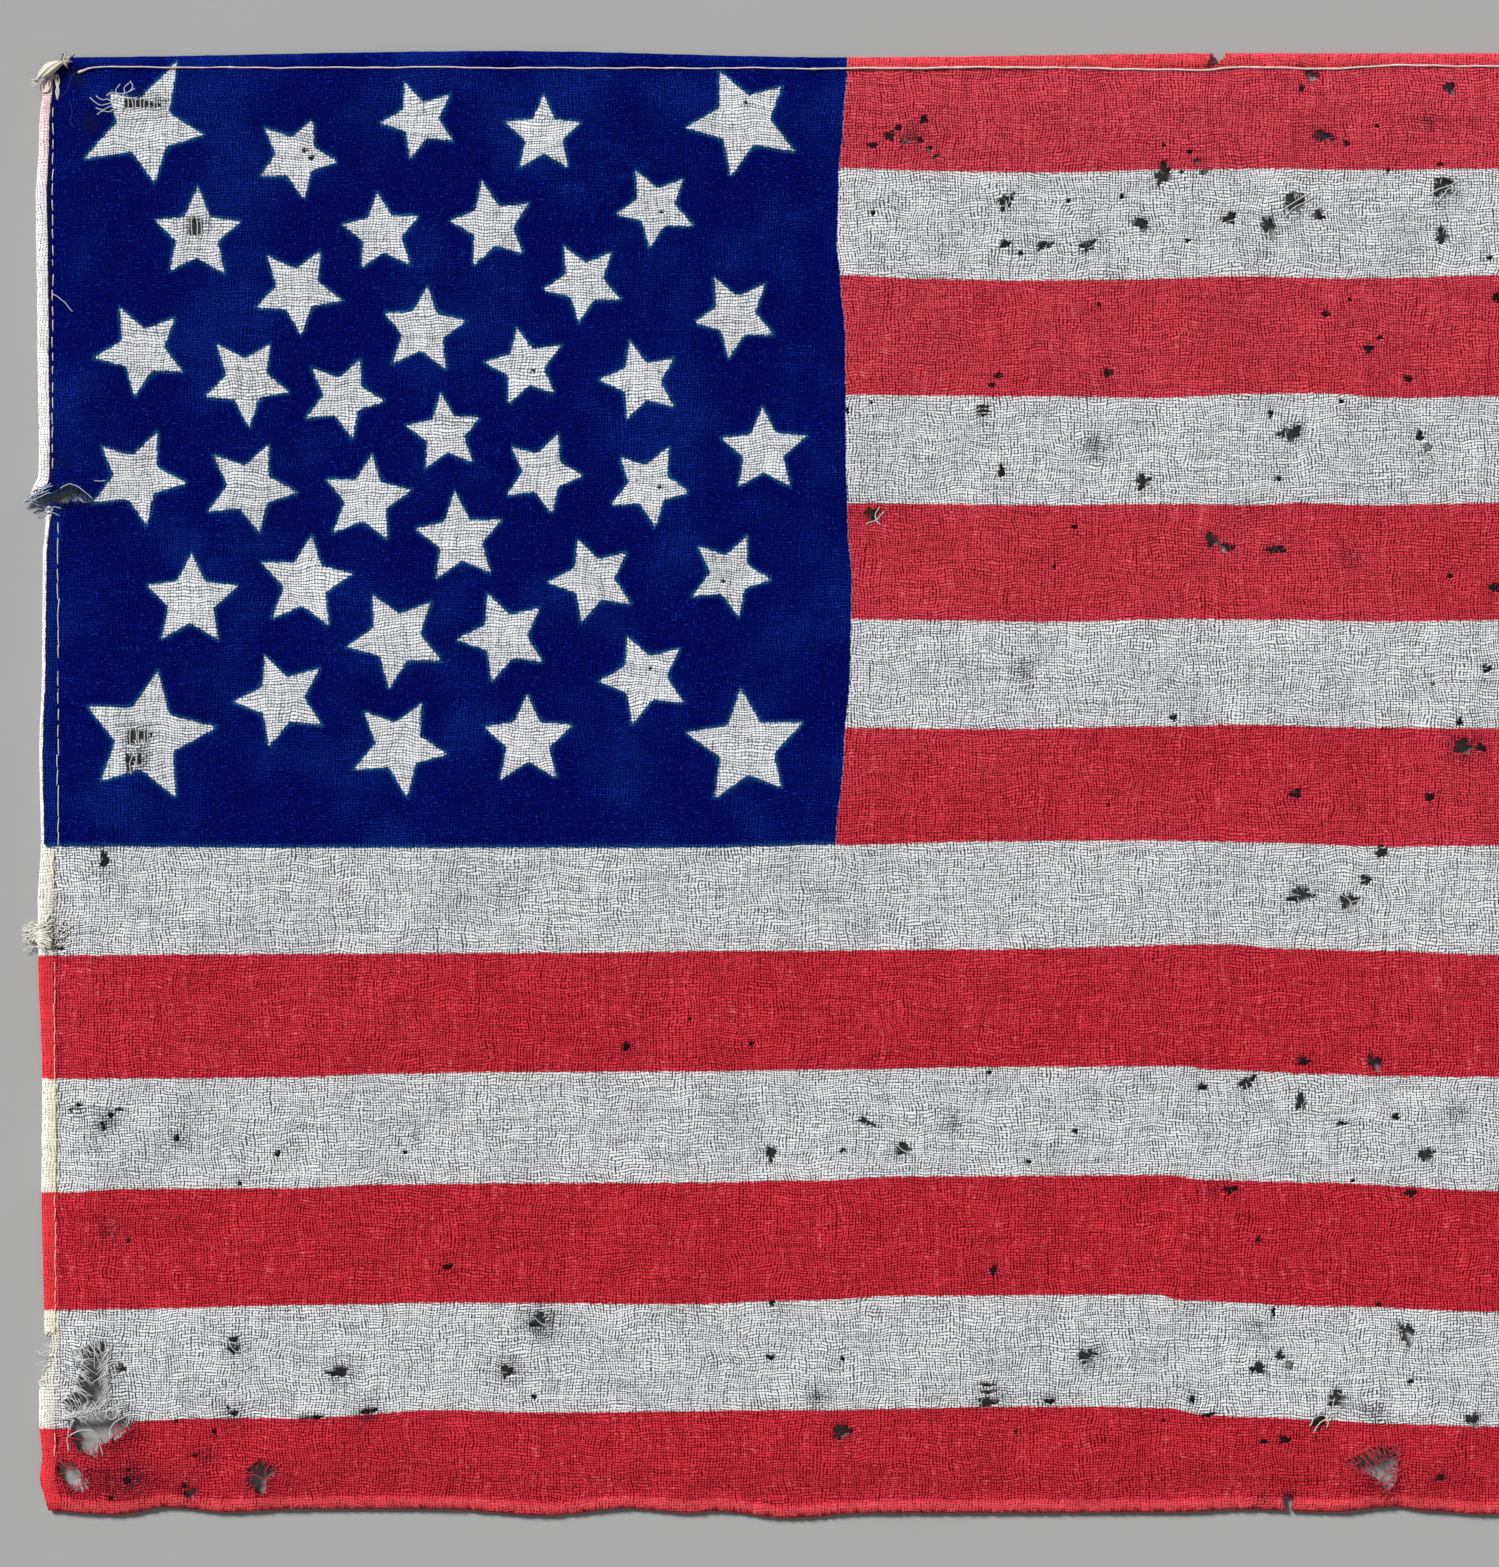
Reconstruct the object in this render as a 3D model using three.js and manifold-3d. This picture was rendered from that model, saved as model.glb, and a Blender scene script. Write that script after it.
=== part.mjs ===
// A worn flag of dyed wool bunting, laid flat with its printed face up.
// One cloth with folded hems, and the stubs of two cream ties at the hoist.
// Millimetres, +X from the hoist to the fly, +Y to the top edge, +Z up.
import * as THREE from "three";
import { mergeVertices } from "three/addons/utils/BufferGeometryUtils.js";
import Module from "manifold-3d";

// Driving dimensions. "Along" runs from the hoist to the fly, "down" from the top edge to the bottom edge.
const FLY = 685.8;
const HOIST = 457.2;
const CLOTH_THICKNESS = 1.2;
const HEM_THICKNESS = 2.0;
const TOP_HEM = 3.8;
const HOIST_HEM = 5.0;
const BOTTOM_HEM = 4.2;
const FLY_HEM = 4.6;
const PIECE_GAP = 0.3;
const OUTLINE_STEP = 9;
const CUT_MARGIN = 3;

// Each edge bends gently: [place along the edge, where the edge lies], joined by smooth steps.
const TOP_EDGE = [[0, 0], [144, -2], [253, 0], [380, -1.3], [460, -1.3], [560, -0.2], [640, -1.2], [FLY, 0]];
const BOTTOM_EDGE = [
  [0, 457.5], [23, 458.8], [40, 456.4], [58, 458], [81, 457], [125, 457], [159, 459], [184, 456.8],
  [204, 458.2], [212, 457.6], [234, 459.8], [262, 458.2], [302, 458.2], [358, 458], [377, 457.1], [406, 458],
  [426, 456.3], [437, 457.6], [453, 458.7], [500, 457.4], [560, 458.6], [620, 457], [FLY, 458],
];
const HOIST_EDGE = [
  [0, 1], [25, -1], [45, -2], [90, -1.5], [125, -1], [143, 1.4], [158, 0.2], [190, 0], [220, -0.9],
  [246, -0.4], [268, -1.4], [284, -1.2], [322, 0], [357, -0.2], [400, 0.6], [417, -1], [428, -1],
  [442, 0], [447, -0.8], [455, 1], [460, 3],
];
const FLY_EDGE = [[0, FLY], [90, FLY - 1], [200, FLY + 0.4], [330, FLY - 0.8], [400, FLY + 0.2], [460, FLY - 0.4]];

// Tears and notches too uneven for a round hole, each an outline of [along, down] points.
const TORN_OUTLINES = {
  cornerCut: [[-6, -6], [8.5, -6], [8.2, 0.2], [6.2, 1.6], [0, 7], [-6, 7.4]],
  hoistNotch: [
    [-6, 138.6], [-1.5, 137.7], [2.7, 136.9], [6.9, 134.8], [9.8, 134.8], [11.7, 135.8], [14.8, 138.3],
    [16.2, 139.7], [15.1, 140.5], [11.2, 139.9], [7.2, 140.5], [3.6, 140.3], [1.9, 141.9], [-6, 142.4],
  ],
  hemGap: [[-6, 401], [0.4, 401.6], [3.1, 402.5], [2.5, 407.5], [1.8, 410.5], [1.5, 414], [-0.6, 416.6], [-6, 417]],
  hoistTear: [
    [16.5, 404.5], [20, 404.5], [21, 407.5], [20.5, 413], [20.5, 416.5], [21.5, 421.5], [19.5, 424], [14, 425.5],
    [8.5, 426.5], [7, 423], [9, 421.5], [11.5, 419.5], [12.5, 414.5], [14, 410.5], [9.5, 407.5], [12.5, 407],
  ],
  stripeTear: [
    [8, 428.5], [10, 432], [10, 436], [11.5, 438.5], [17.5, 440.5], [18, 436.5], [23.5, 435], [26.5, 432.5],
    [29.5, 429.5], [24.5, 426.6], [19.5, 426.2], [14, 427.3],
  ],
  cornerTear: [[5.5, 441], [10.5, 442.5], [14, 446.5], [15.5, 449.5], [12.5, 451.5], [8, 450.5], [5, 445.5]],
  lowHole: [
    [65.5, 444], [69.5, 441], [70.5, 442.5], [73.5, 443.5], [73.5, 446], [71, 447], [70.5, 452], [68.5, 452.5],
    [65, 448],
  ],
  snagTear: [[410, 442], [418.5, 437.5], [426.5, 437.5], [426, 446.5], [424, 452.5], [419.5, 447], [414, 444]],
  upperHole: [[437.8, 38.8], [440.8, 38.3], [443.6, 39], [443.2, 41.5], [443.8, 44], [441.2, 44.7], [438, 44.1], [438.2, 41.4]],
  strandHole: [[391.4, 43.6], [394, 43], [396.8, 43.4], [397.2, 46], [396.6, 48.5], [393.6, 48.9], [391.2, 48.3], [390.9, 46]],
  topEdgeNotch: [[369.6, -6], [373.4, -6], [372.4, -0.4], [368.6, 3.3], [366.4, 3.1], [368.2, 0.6]],
  bottomEdgeNotch: [[390.8, 453], [393.8, 452.8], [393.6, 455], [392.8, 463], [391.6, 463], [391.2, 455.4]],
};

// Moth holes over about 3 mm across, as [along, down, width, height, turn in degrees].
const HOLES = [
  [303.2, 45.8, 5.4, 3.2, 38], [329.3, 59.4, 4.4, 2.6, 25], [346, 52.7, 4.8, 3, -38], [353, 37, 3.6, 6.2, -15],
  [399.8, 5.8, 3.8, 2.8, -25], [403.3, 25.2, 5.4, 3, -10], [440.6, 56.5, 3.2, 4.8, 0], [386.2, 54, 3.2, 6.4, 28],
  [373.7, 51, 4.2, 2.8, 35], [346.5, 133.8, 3.8, 4.2, 20], [261.5, 144, 4, 3.4, 0], [393, 118.5, 7, 3.2, 12],
  [368.2, 152, 4.4, 3, -38], [447, 217, 4.6, 4.2, -20], [421.5, 250.2, 3.6, 3.2, 0], [396, 263.8, 6.2, 3.8, 8],
  [411.2, 265.8, 4.8, 4.4, 0], [419.4, 316.4, 4.8, 3.2, -30], [379.2, 322.7, 4.8, 3, 30], [396.2, 328.8, 3, 4.6, 0],
  [435.7, 345.5, 4.4, 3.8, 30], [229.6, 345, 2.8, 4, 0], [271.2, 343.8, 4.4, 3.4, -20], [429.4, 401.7, 4, 6, 20],
  [382.7, 412.7, 4.2, 3.2, 0], [407.5, 422.2, 4.8, 4.6, 15], [401.6, 429.2, 3.4, 4.4, -25], [60.7, 406.5, 3.6, 2.4, 0],
  [157.2, 397.8, 5, 4.2, -10], [146.6, 413.5, 3.6, 3.4, 0], [251.8, 432.6, 5.4, 3.6, 25], [297.7, 422.8, 5.4, 2.6, 0],
];
const HOLE_SIDES = 9;

const BLUE_WOOL = { color: 0x0a1768, roughness: 0.95, metalness: 0 };
const CREAM_TAPE = { color: 0xe8e0c0, roughness: 0.9, metalness: 0 };

// Where an edge lies at one place: a smooth step from each listed point to the next.
function edgeAt(points, place) {
  const next = points.findIndex(([at]) => at >= place);
  if (next <= 0) {
    return next === 0 ? points[0][1] : points[points.length - 1][1];
  }
  const [fromAt, from] = points[next - 1];
  const [toAt, to] = points[next];
  return from + (to - from) * THREE.MathUtils.smoothstep(place, fromAt, toAt);
}

// Evenly spaced places from start to end, the end left out.
function places(start, end) {
  const count = Math.round(Math.abs(end - start) / OUTLINE_STEP);
  return Array.from({ length: count }, (_, i) => start + ((end - start) * i) / count);
}

// The cloth's own outline, or with the hem widths the line where its hems are sewn down.
function clothOutline(top, hoist, bottom, fly) {
  const left = (down) => edgeAt(HOIST_EDGE, down) + hoist;
  const right = (down) => edgeAt(FLY_EDGE, down) - fly;
  const upper = (along) => edgeAt(TOP_EDGE, along) + top;
  const lower = (along) => edgeAt(BOTTOM_EDGE, along) - bottom;
  const [x0, x1, y0, y1] = [left(0), right(0), upper(0), lower(0)];
  return [
    ...places(x0, x1).map((along) => [along, upper(along)]),
    ...places(y0, y1).map((down) => [right(down), down]),
    ...places(right(y1), left(y1)).map((along) => [along, lower(along)]),
    ...places(y1, y0).map((down) => [left(down), down]),
  ];
}

// A hole with a worn edge: an ellipse whose radius swells and shrinks in three and in five lobes.
function holeOutline([along, down, width, height, turnDegrees]) {
  const turn = THREE.MathUtils.degToRad(turnDegrees);
  return Array.from({ length: HOLE_SIDES }, (_, i) => {
    const angle = (2 * Math.PI * i) / HOLE_SIDES;
    const worn = 1 + 0.12 * Math.sin(3 * angle + along) + 0.08 * Math.sin(5 * angle + down);
    const x = 0.5 * width * worn * Math.cos(angle);
    const y = 0.5 * height * worn * Math.sin(angle);
    return [along + x * Math.cos(turn) + y * Math.sin(turn), down - x * Math.sin(turn) + y * Math.cos(turn)];
  });
}

const wasm = await Module();
wasm.setup();

function toSolid(geometry) {
  geometry.deleteAttribute("normal");
  geometry.deleteAttribute("uv");
  const merged = mergeVertices(geometry, 1e-4);
  return new wasm.Manifold(
    new wasm.Mesh({
      numProp: 3,
      vertProperties: merged.attributes.position.array,
      triVerts: new Uint32Array(merged.index.array),
    }),
  );
}

function toGeometry(solid) {
  const made = solid.getMesh();
  const geometry = new THREE.BufferGeometry();
  geometry.setAttribute("position", new THREE.BufferAttribute(made.vertProperties, 3));
  geometry.setIndex(new THREE.BufferAttribute(made.triVerts, 1));
  geometry.computeVertexNormals();
  return geometry;
}

// An upright prism on an outline of [along, down] points, between two heights.
function prism(outline, bottom, top) {
  const shape = new THREE.Shape(outline.map(([along, down]) => new THREE.Vector2(along, -down)));
  const geometry = new THREE.ExtrudeGeometry(shape, { depth: top - bottom, bevelEnabled: false });
  geometry.translate(0, 0, bottom);
  return toSolid(geometry);
}

// The cloth: hem-thick within its outline, thinned to one layer inside the hems, then torn and holed.
function flagCloth() {
  let cloth = prism(clothOutline(0, 0, 0, 0), 0, HEM_THICKNESS);
  const field = clothOutline(TOP_HEM, HOIST_HEM, BOTTOM_HEM, FLY_HEM);
  cloth = cloth.subtract(prism(field, CLOTH_THICKNESS, HEM_THICKNESS + CUT_MARGIN));
  for (const outline of [...Object.values(TORN_OUTLINES), ...HOLES.map(holeOutline)]) {
    cloth = cloth.subtract(prism(outline, -CUT_MARGIN, HEM_THICKNESS + CUT_MARGIN));
  }
  const mesh = new THREE.Mesh(toGeometry(cloth), new THREE.MeshStandardMaterial(BLUE_WOOL));
  mesh.name = "flag_cloth";
  return mesh;
}

// A flat tape stub: an oval section carried along a short curve of [along, down, height] points.
function tapeStub(name, width, thickness, route) {
  const section = new THREE.Shape().absellipse(0, 0, thickness / 2, width / 2, 0, 2 * Math.PI);
  const path = new THREE.CatmullRomCurve3(route.map(([along, down, up]) => new THREE.Vector3(along, -down, up)));
  const geometry = new THREE.ExtrudeGeometry(section, {
    extrudePath: path,
    steps: 8,
    curveSegments: 5,
    bevelEnabled: false,
  });
  const mesh = new THREE.Mesh(toGeometry(toSolid(geometry)), new THREE.MeshStandardMaterial(CREAM_TAPE));
  mesh.name = name;
  return mesh;
}

const STUB_THICKNESS = 1.2;
const OVER_HEM = HEM_THICKNESS + PIECE_GAP + STUB_THICKNESS / 2 + 0.1;

const flag = new THREE.Group();
flag.add(flagCloth());
flag.add(
  tapeStub("corner_tie", 2.6, STUB_THICKNESS, [
    [-0.8, 7.2, OVER_HEM], [1.4, 5.2, OVER_HEM + 0.2], [4, 3.4, OVER_HEM + 0.2], [6.8, 2, OVER_HEM],
  ]),
);
flag.add(
  tapeStub("lower_tie", 4.6, STUB_THICKNESS, [
    [3.4, 276.6, OVER_HEM], [0, 276.2, OVER_HEM + 0.1], [-2.6, 276, OVER_HEM], [-6.4, 276.4, 1.4],
  ]),
);

// The frame's origin is the middle of the flag's footprint, on the surface it lies on.
const footprint = new THREE.Box3().setFromObject(flag).getCenter(new THREE.Vector3());
flag.position.set(-footprint.x, -footprint.y, 0);

export default flag;
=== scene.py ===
"""A small tattered flag of printed wool bunting, lying flat on a pale floor.

Lengths are millimetres in the flag's own plane, along from the hoist line and down from the top line,
until placed() turns them into the frame's metres. The cloth is one closed sheet with its hems, tears and
moth holes. The ties, threads and loose yarns are pieces of their own on it.
"""

import math

import bpy
import numpy as np
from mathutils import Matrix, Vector
from mathutils.geometry import delaunay_2d_cdt


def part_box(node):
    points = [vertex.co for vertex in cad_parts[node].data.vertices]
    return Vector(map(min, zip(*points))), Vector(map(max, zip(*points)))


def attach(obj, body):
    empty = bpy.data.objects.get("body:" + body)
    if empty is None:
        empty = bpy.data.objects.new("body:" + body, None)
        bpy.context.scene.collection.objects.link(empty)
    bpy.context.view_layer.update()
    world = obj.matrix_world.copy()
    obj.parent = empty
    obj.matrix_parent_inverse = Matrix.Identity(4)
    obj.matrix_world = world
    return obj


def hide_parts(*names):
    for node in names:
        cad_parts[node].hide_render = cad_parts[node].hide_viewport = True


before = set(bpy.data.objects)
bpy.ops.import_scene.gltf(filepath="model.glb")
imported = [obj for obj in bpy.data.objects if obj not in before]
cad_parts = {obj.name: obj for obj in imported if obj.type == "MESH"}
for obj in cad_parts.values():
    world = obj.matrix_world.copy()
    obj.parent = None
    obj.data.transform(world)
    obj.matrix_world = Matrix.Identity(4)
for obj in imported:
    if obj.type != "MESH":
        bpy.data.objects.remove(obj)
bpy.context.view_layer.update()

MM = 0.001
FLY = 685.8
HOIST = 457.2

# The hem lines of the cloth, as its solid has them.
TOP_EDGE = [(0, 0), (144, -2), (253, 0), (380, -1.3), (460, -1.3), (560, -0.2), (640, -1.2), (FLY, 0)]
BOTTOM_EDGE = [
    (0, 457.5), (23, 458.8), (40, 456.4), (58, 458), (81, 457), (125, 457), (159, 459), (184, 456.8),
    (204, 458.2), (212, 457.6), (234, 459.8), (262, 458.2), (302, 458.2), (358, 458), (377, 457.1),
    (406, 458), (426, 456.3), (437, 457.6), (453, 458.7), (500, 457.4), (560, 458.6), (620, 457),
    (FLY, 458),
]
HOIST_EDGE = [
    (0, 1), (25, -1), (45, -2), (90, -1.5), (125, -1), (131.5, -1.2), (137.5, -3.6), (139, -3.4),
    (142.5, 1.2), (158, 0.2), (190, 0), (220, -0.9), (246, -0.4), (268, -1.4), (284, -1.2), (322, 0),
    (357, -0.2), (400, 0.6), (417, -1), (428, -1), (442, 0), (447, -0.8), (455, 1), (460, 3),
]
FLY_EDGE = [(0, FLY), (90, FLY - 1), (200, FLY + 0.4), (330, FLY - 0.8), (400, FLY + 0.2), (460, FLY - 0.4)]
TOP_HEM, BOTTOM_HEM, FLY_HEM = 3.8, 4.2, 4.6
# How wide the turned strip at the hoist shows, by how far down it is.
HOIST_STRIP = [
    (0, 2.6), (12, 3.4), (60, 3.9), (130, 3.4), (137, 4.6), (143, 2), (150, 4.4), (248, 4.8),
    (330, 5.2), (460, 5),
]

# How wide it shows undyed or clear red. Beside the canton that is less than the strip.
STRIP_SHOWN = [
    (0, 2.4), (12, 3.1), (60, 3.7), (130, 3.5), (137.5, 4.2), (140, 3), (147, 1.3), (190, 1.1),
    (248, 1.1), (248.8, 4.4), (330, 4.8), (460, 5),
]
# Heights in the frame: the undyed strip turns pink from the first on, and the notch lies at the second.
PINK_FROM = 176
NOTCH_LEVEL = 89

# Tears with the solid's outlines.
TEARS = {
    "corner_cut": [(-6, -6), (8.5, -6), (8.2, 0.2), (6.2, 1.6), (0, 7), (-6, 7.4)],
    "hoist_notch": [
        (-6, 138.6), (-1.5, 137.7), (2.7, 136.9), (6.9, 134.8), (9.8, 134.8), (11.7, 135.8),
        (14.8, 138.3), (16.2, 139.7), (15.1, 140.5), (11.2, 139.9), (7.2, 140.5), (3.6, 140.3),
        (1.9, 141.9), (-6, 142.4),
    ],
    "hem_gap": [
        (-6, 401), (0.4, 401.6), (3.1, 402.5), (2.5, 407.5), (1.8, 410.5), (1.5, 414), (-0.6, 416.6),
        (-6, 417),
    ],
    "hoist_tear": [
        (16.5, 404.5), (20, 404.5), (21, 407.5), (20.5, 413), (20.5, 416.5), (21.5, 421.5),
        (19.5, 424), (14, 425.5), (8.5, 426.5), (7, 423), (9, 421.5), (11.5, 419.5), (12.5, 414.5),
        (14, 410.5), (9.5, 407.5), (12.5, 407),
    ],
    "stripe_tear": [
        (8, 428.5), (10, 432), (10, 436), (11.5, 438.5), (17.5, 440.5), (18, 436.5), (23.5, 435),
        (26.5, 432.5), (29.5, 429.5), (24.5, 426.6), (19.5, 426.2), (14, 427.3),
    ],
    "corner_tear": [
        (5.5, 441), (10.5, 442.5), (14, 446.5), (15.5, 449.5), (12.5, 451.5), (8, 450.5), (5, 445.5),
    ],
    "low_hole": [
        (65.5, 444), (69.5, 441), (70.5, 442.5), (73.5, 443.5), (73.5, 446), (71, 447), (70.5, 452),
        (68.5, 452.5), (65, 448),
    ],
    "snag_tear": [
        (410, 442), (418.5, 437.5), (426.5, 437.5), (426, 446.5), (424, 452.5), (419.5, 447),
        (414, 444),
    ],
    "upper_hole": [
        (437.8, 38.8), (440.8, 38.3), (443.6, 39), (443.2, 41.5), (443.8, 44), (441.2, 44.7),
        (438, 44.1), (438.2, 41.4),
    ],
    "strand_hole": [
        (391.4, 43.6), (394, 43), (396.8, 43.4), (397.2, 46), (396.6, 48.5), (393.6, 48.9),
        (391.2, 48.3), (390.9, 46),
    ],
    "top_edge_notch": [(369.6, -6), (373.4, -6), (372.4, -0.4), (368.6, 3.3), (366.4, 3.1), (368.2, 0.6)],
    "bottom_edge_notch": [
        (390.8, 453), (393.8, 452.8), (393.6, 455), (392.8, 463), (391.6, 463), (391.2, 455.4),
    ],
}

# Moth holes: along, down, width, height and turn in degrees.
HOLES = [
    (303.2, 45.8, 5.4, 3.2, 38), (329.3, 59.4, 4.4, 2.6, 25), (346.1, 52.9, 4.8, 3, -38),
    (353, 37, 3.6, 6.2, -15), (399.8, 5.8, 3.8, 2.8, -25), (403.3, 25.2, 5.4, 3, -10),
    (440.6, 56.5, 3.2, 4.8, 0), (386.2, 54, 3.2, 6.4, 28), (373.7, 51, 4.2, 2.8, 35),
    (346.5, 133.8, 3.8, 4.2, 20), (261.5, 144, 4, 3.4, 0), (393, 118.5, 7, 3.2, 12),
    (368.2, 152, 4.4, 3, -38), (447, 217, 4.6, 4.2, -20), (421.5, 250.2, 3.6, 3.2, 0),
    (396, 263.8, 6.2, 3.8, 8), (411.2, 265.8, 4.8, 4.4, 0), (419.4, 316.4, 4.8, 3.2, -30),
    (379.2, 322.7, 4.8, 3, 30), (396.2, 328.8, 3, 4.6, 0), (435.7, 345.5, 4.4, 3.8, 30),
    (229.6, 345, 2.8, 4, 0), (271.2, 343.8, 4.4, 3.4, -20), (429.4, 401.7, 4, 6, 20),
    (382.7, 412.7, 4.2, 3.2, 0), (407.5, 422.2, 4.8, 4.6, 15), (401.6, 429.2, 3.4, 4.4, -25),
    (60.7, 406.5, 3.6, 2.4, 0), (157.2, 397.8, 5, 4.2, -10), (146.6, 413.5, 3.6, 3.4, 0),
    (251.8, 432.6, 5.4, 3.6, 25), (297.6, 423.3, 5.4, 2.6, 0),
    # Smaller ones.
    (261.5, 28, 2.8, 1.6, 0), (267, 25, 3.6, 2.5, 20), (269.5, 22.5, 2, 1.9, 0),
    (271.5, 26.5, 2.5, 2.2, 0), (276.5, 26.5, 1.9, 1.4, 0), (277.5, 20, 2.2, 2.5, 0),
    (279.2, 29.2, 1.7, 1.7, 0), (261.5, 49, 1.5, 1.5, 0), (308, 62, 2.2, 1.4, 0),
    (315.5, 59.5, 4.7, 2.2, 10), (303, 59, 2.9, 2.5, 0), (340, 44, 2.2, 1.4, 0),
    (323, 45.5, 1.5, 1.1, 0), (299, 103.5, 1.8, 1.4, 0), (301, 100.5, 2.2, 1.8, 0),
    (335.5, 99.5, 2.9, 2.2, 0), (332.5, 78, 1.1, 1.1, 0), (253.5, 111.5, 1.1, 2.2, 0),
    (261, 109, 1, 1, 0), (396.5, 10, 1.4, 1.8, 0), (410.5, 27.5, 1.8, 1.8, 0), (420, 22, 1.4, 1.1, 0),
    (443, 10, 2.9, 3.6, 20), (401.5, 50, 3.3, 2.9, 0), (360.5, 58, 1.8, 1.4, 0), (353, 28, 1.1, 1.1, 0),
    (417.5, 92, 2.9, 2.5, 0), (430, 101.5, 2.7, 1.8, 0), (404, 81, 2.2, 1.8, 0),
    (411.5, 76.5, 1.1, 1.1, 0), (421, 88.5, 2.2, 1.1, 0), (457.5, 76, 2, 2.9, 0),
    (455.5, 63.5, 1.5, 1.5, 0), (440, 34, 1.8, 1.1, 0), (423.5, 36, 1.1, 1.4, 0),
    (296, 110.2, 4, 0.8, 0), (296, 111.5, 4.2, 0.8, 0), (296.4, 112.7, 3.4, 0.8, 0),
    (302, 130.5, 1.8, 3.5, 0), (325, 148, 1.8, 1.1, 0), (318.5, 160.5, 1.1, 1.1, 0),
    (386.5, 112.5, 1.4, 2.2, 0), (409, 108.5, 1.8, 1.1, 0), (433.5, 119.5, 1.8, 3, 0),
    (436, 123, 2.5, 2.2, 0), (389, 133, 2.2, 1.4, 0), (373, 154.5, 4, 2.1, -10),
    (388.5, 155, 5, 2.2, 5), (443, 163.5, 1.4, 1.4, 0), (457, 167, 3.1, 2.5, 0),
    (454.5, 192.5, 2.5, 2.2, 0), (437.5, 197.5, 1, 1, 0), (356, 208, 2.2, 1.8, 0),
    (446, 209.5, 2.5, 2.2, 0), (452.5, 217.5, 3.3, 2.2, 0), (394.5, 232, 3.2, 2.5, 0),
    (436.5, 233, 2.8, 2.5, 0), (335.5, 235.5, 1, 1, 0), (416.5, 259, 3.2, 2.9, 0),
    (397, 316, 3.2, 2.2, 0), (365, 324, 2.8, 1.9, 0), (259.5, 335, 4.5, 1.6, -30),
    (252, 344, 1.6, 1.6, 0), (310.5, 347.5, 1.9, 1.4, 0), (325, 338, 1.7, 1.7, 0),
    (298, 319.5, 1.4, 1.4, 0), (299.5, 382, 1.9, 3.1, 0), (223.5, 310.5, 1.4, 1.4, 0),
    (204, 302.5, 1, 1, 0), (230, 392, 1.6, 1.6, 0), (426, 333.5, 2.3, 1.9, 0), (409, 335.5, 3, 1, 0),
    (412.5, 353.5, 1.5, 0.9, 0), (374, 356.5, 4, 1.9, 0), (430.6, 357.5, 3.5, 1.8, 8),
    (383, 372, 1.5, 1.5, 0), (387.5, 394.5, 1.3, 3.4, 0), (420.5, 392.5, 1.6, 1.2, 0),
    (229.5, 409, 2.8, 1.4, 0), (252, 409.5, 1.3, 1.3, 0), (155, 421.5, 1.5, 1.5, 0),
    (74.5, 345, 1.6, 2, 0), (62.5, 354.5, 1.3, 1.3, 0), (114.5, 344.5, 1.3, 1.3, 0),
    (128, 380.5, 3, 1.4, 20), (27.5, 372.5, 1, 1, 0), (389.5, 408.5, 2.6, 2.6, 0),
    (392.5, 411.5, 2.2, 2.2, 0), (430.5, 417, 1.6, 1.9, 0), (450.4, 428.8, 4.4, 3.4, 0),
    (391, 435, 3.1, 2.1, 0), (384.5, 435.5, 2.2, 1.3, 0), (440, 447, 2.9, 1.9, 0),
    (60.5, 403.5, 3.3, 1.3, 0), (25.5, 412.5, 2.8, 2.5, 0), (42.5, 429, 1.2, 1.2, 0),
    (54.5, 432.5, 1.5, 1.5, 0), (48.5, 440, 2, 1, 0), (27, 448, 2, 2, 0), (27.5, 444.5, 1, 1, 0),
    (22, 453.5, 1.5, 1.5, 0), (306.5, 432.5, 1, 1, 0), (353, 429, 1, 1, 0), (329, 409, 4.6, 4, 20),
    (20, 252.5, 2.2, 4.8, 0), (363.4, 33.2, 1.6, 1.6, 0), (365.6, 36.6, 2.2, 1.4, 15),
    (358.6, 36.4, 1.3, 1.2, 0), (361, 30.2, 1.5, 1.3, 0), (46.8, 452.2, 3.4, 2.2, 15),
    (45, 449.6, 1.4, 1.6, 0), (60.6, 426.8, 2.6, 1.4, 0), (58.8, 425, 1.2, 1.1, 0),
    # Pinholes in the stars.
    (83, 29.5, 1.3, 1.3, 0), (85, 32, 1.6, 1.5, 0), (195, 49, 1.1, 1.1, 0), (221.5, 14.5, 0.9, 0.9, 0),
    (155, 99, 1, 1, 0), (194.5, 135.5, 1.1, 1.1, 0), (214.5, 165, 1, 1, 0), (191.5, 192.5, 1, 1, 0),
    (218.5, 199, 0.9, 0.9, 0), (28, 222, 2.2, 5.6, 0), (31, 221.5, 0.9, 3.6, 0),
    (34.5, 213, 0.9, 1.8, 0),
    # Slits and small holes in the thin places.
    (94, 413.8, 6.2, 2.6, 0), (103, 426, 5.4, 1.3, 8), (86, 427.9, 6.6, 0.8, 3),
    (184.1, 311.3, 1.9, 2.2, 0), (42.6, 340.3, 1.8, 2.3, 0), (19.6, 336.5, 1.3, 2.6, 10),
    (21.8, 332.9, 1.8, 1.6, 0), (24.6, 331.2, 2.4, 0.9, 0), (9.4, 331.4, 1.1, 1.5, 0),
    (11.8, 329.8, 1.8, 0.9, 0), (298, 420, 4.8, 0.8, 4), (297.6, 417.8, 4.2, 0.8, -4),
    (317, 422.9, 3.2, 1.4, 0), (362, 422.2, 1.6, 2.2, 0), (367, 427.2, 4.6, 0.9, 12),
    (281.5, 31.6, 2, 1, 20), (4.4, 277.4, 1.7, 2.6, 20), (7, 275.2, 2.4, 1.5, -20),
    (6.1, 280.4, 2, 1.2, 0),
]

# How much wider than its core a hole opens, and how close the points of its edge lie.
HOLE_SPREAD = 1.1
POINT_GAP = 0.42

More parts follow.
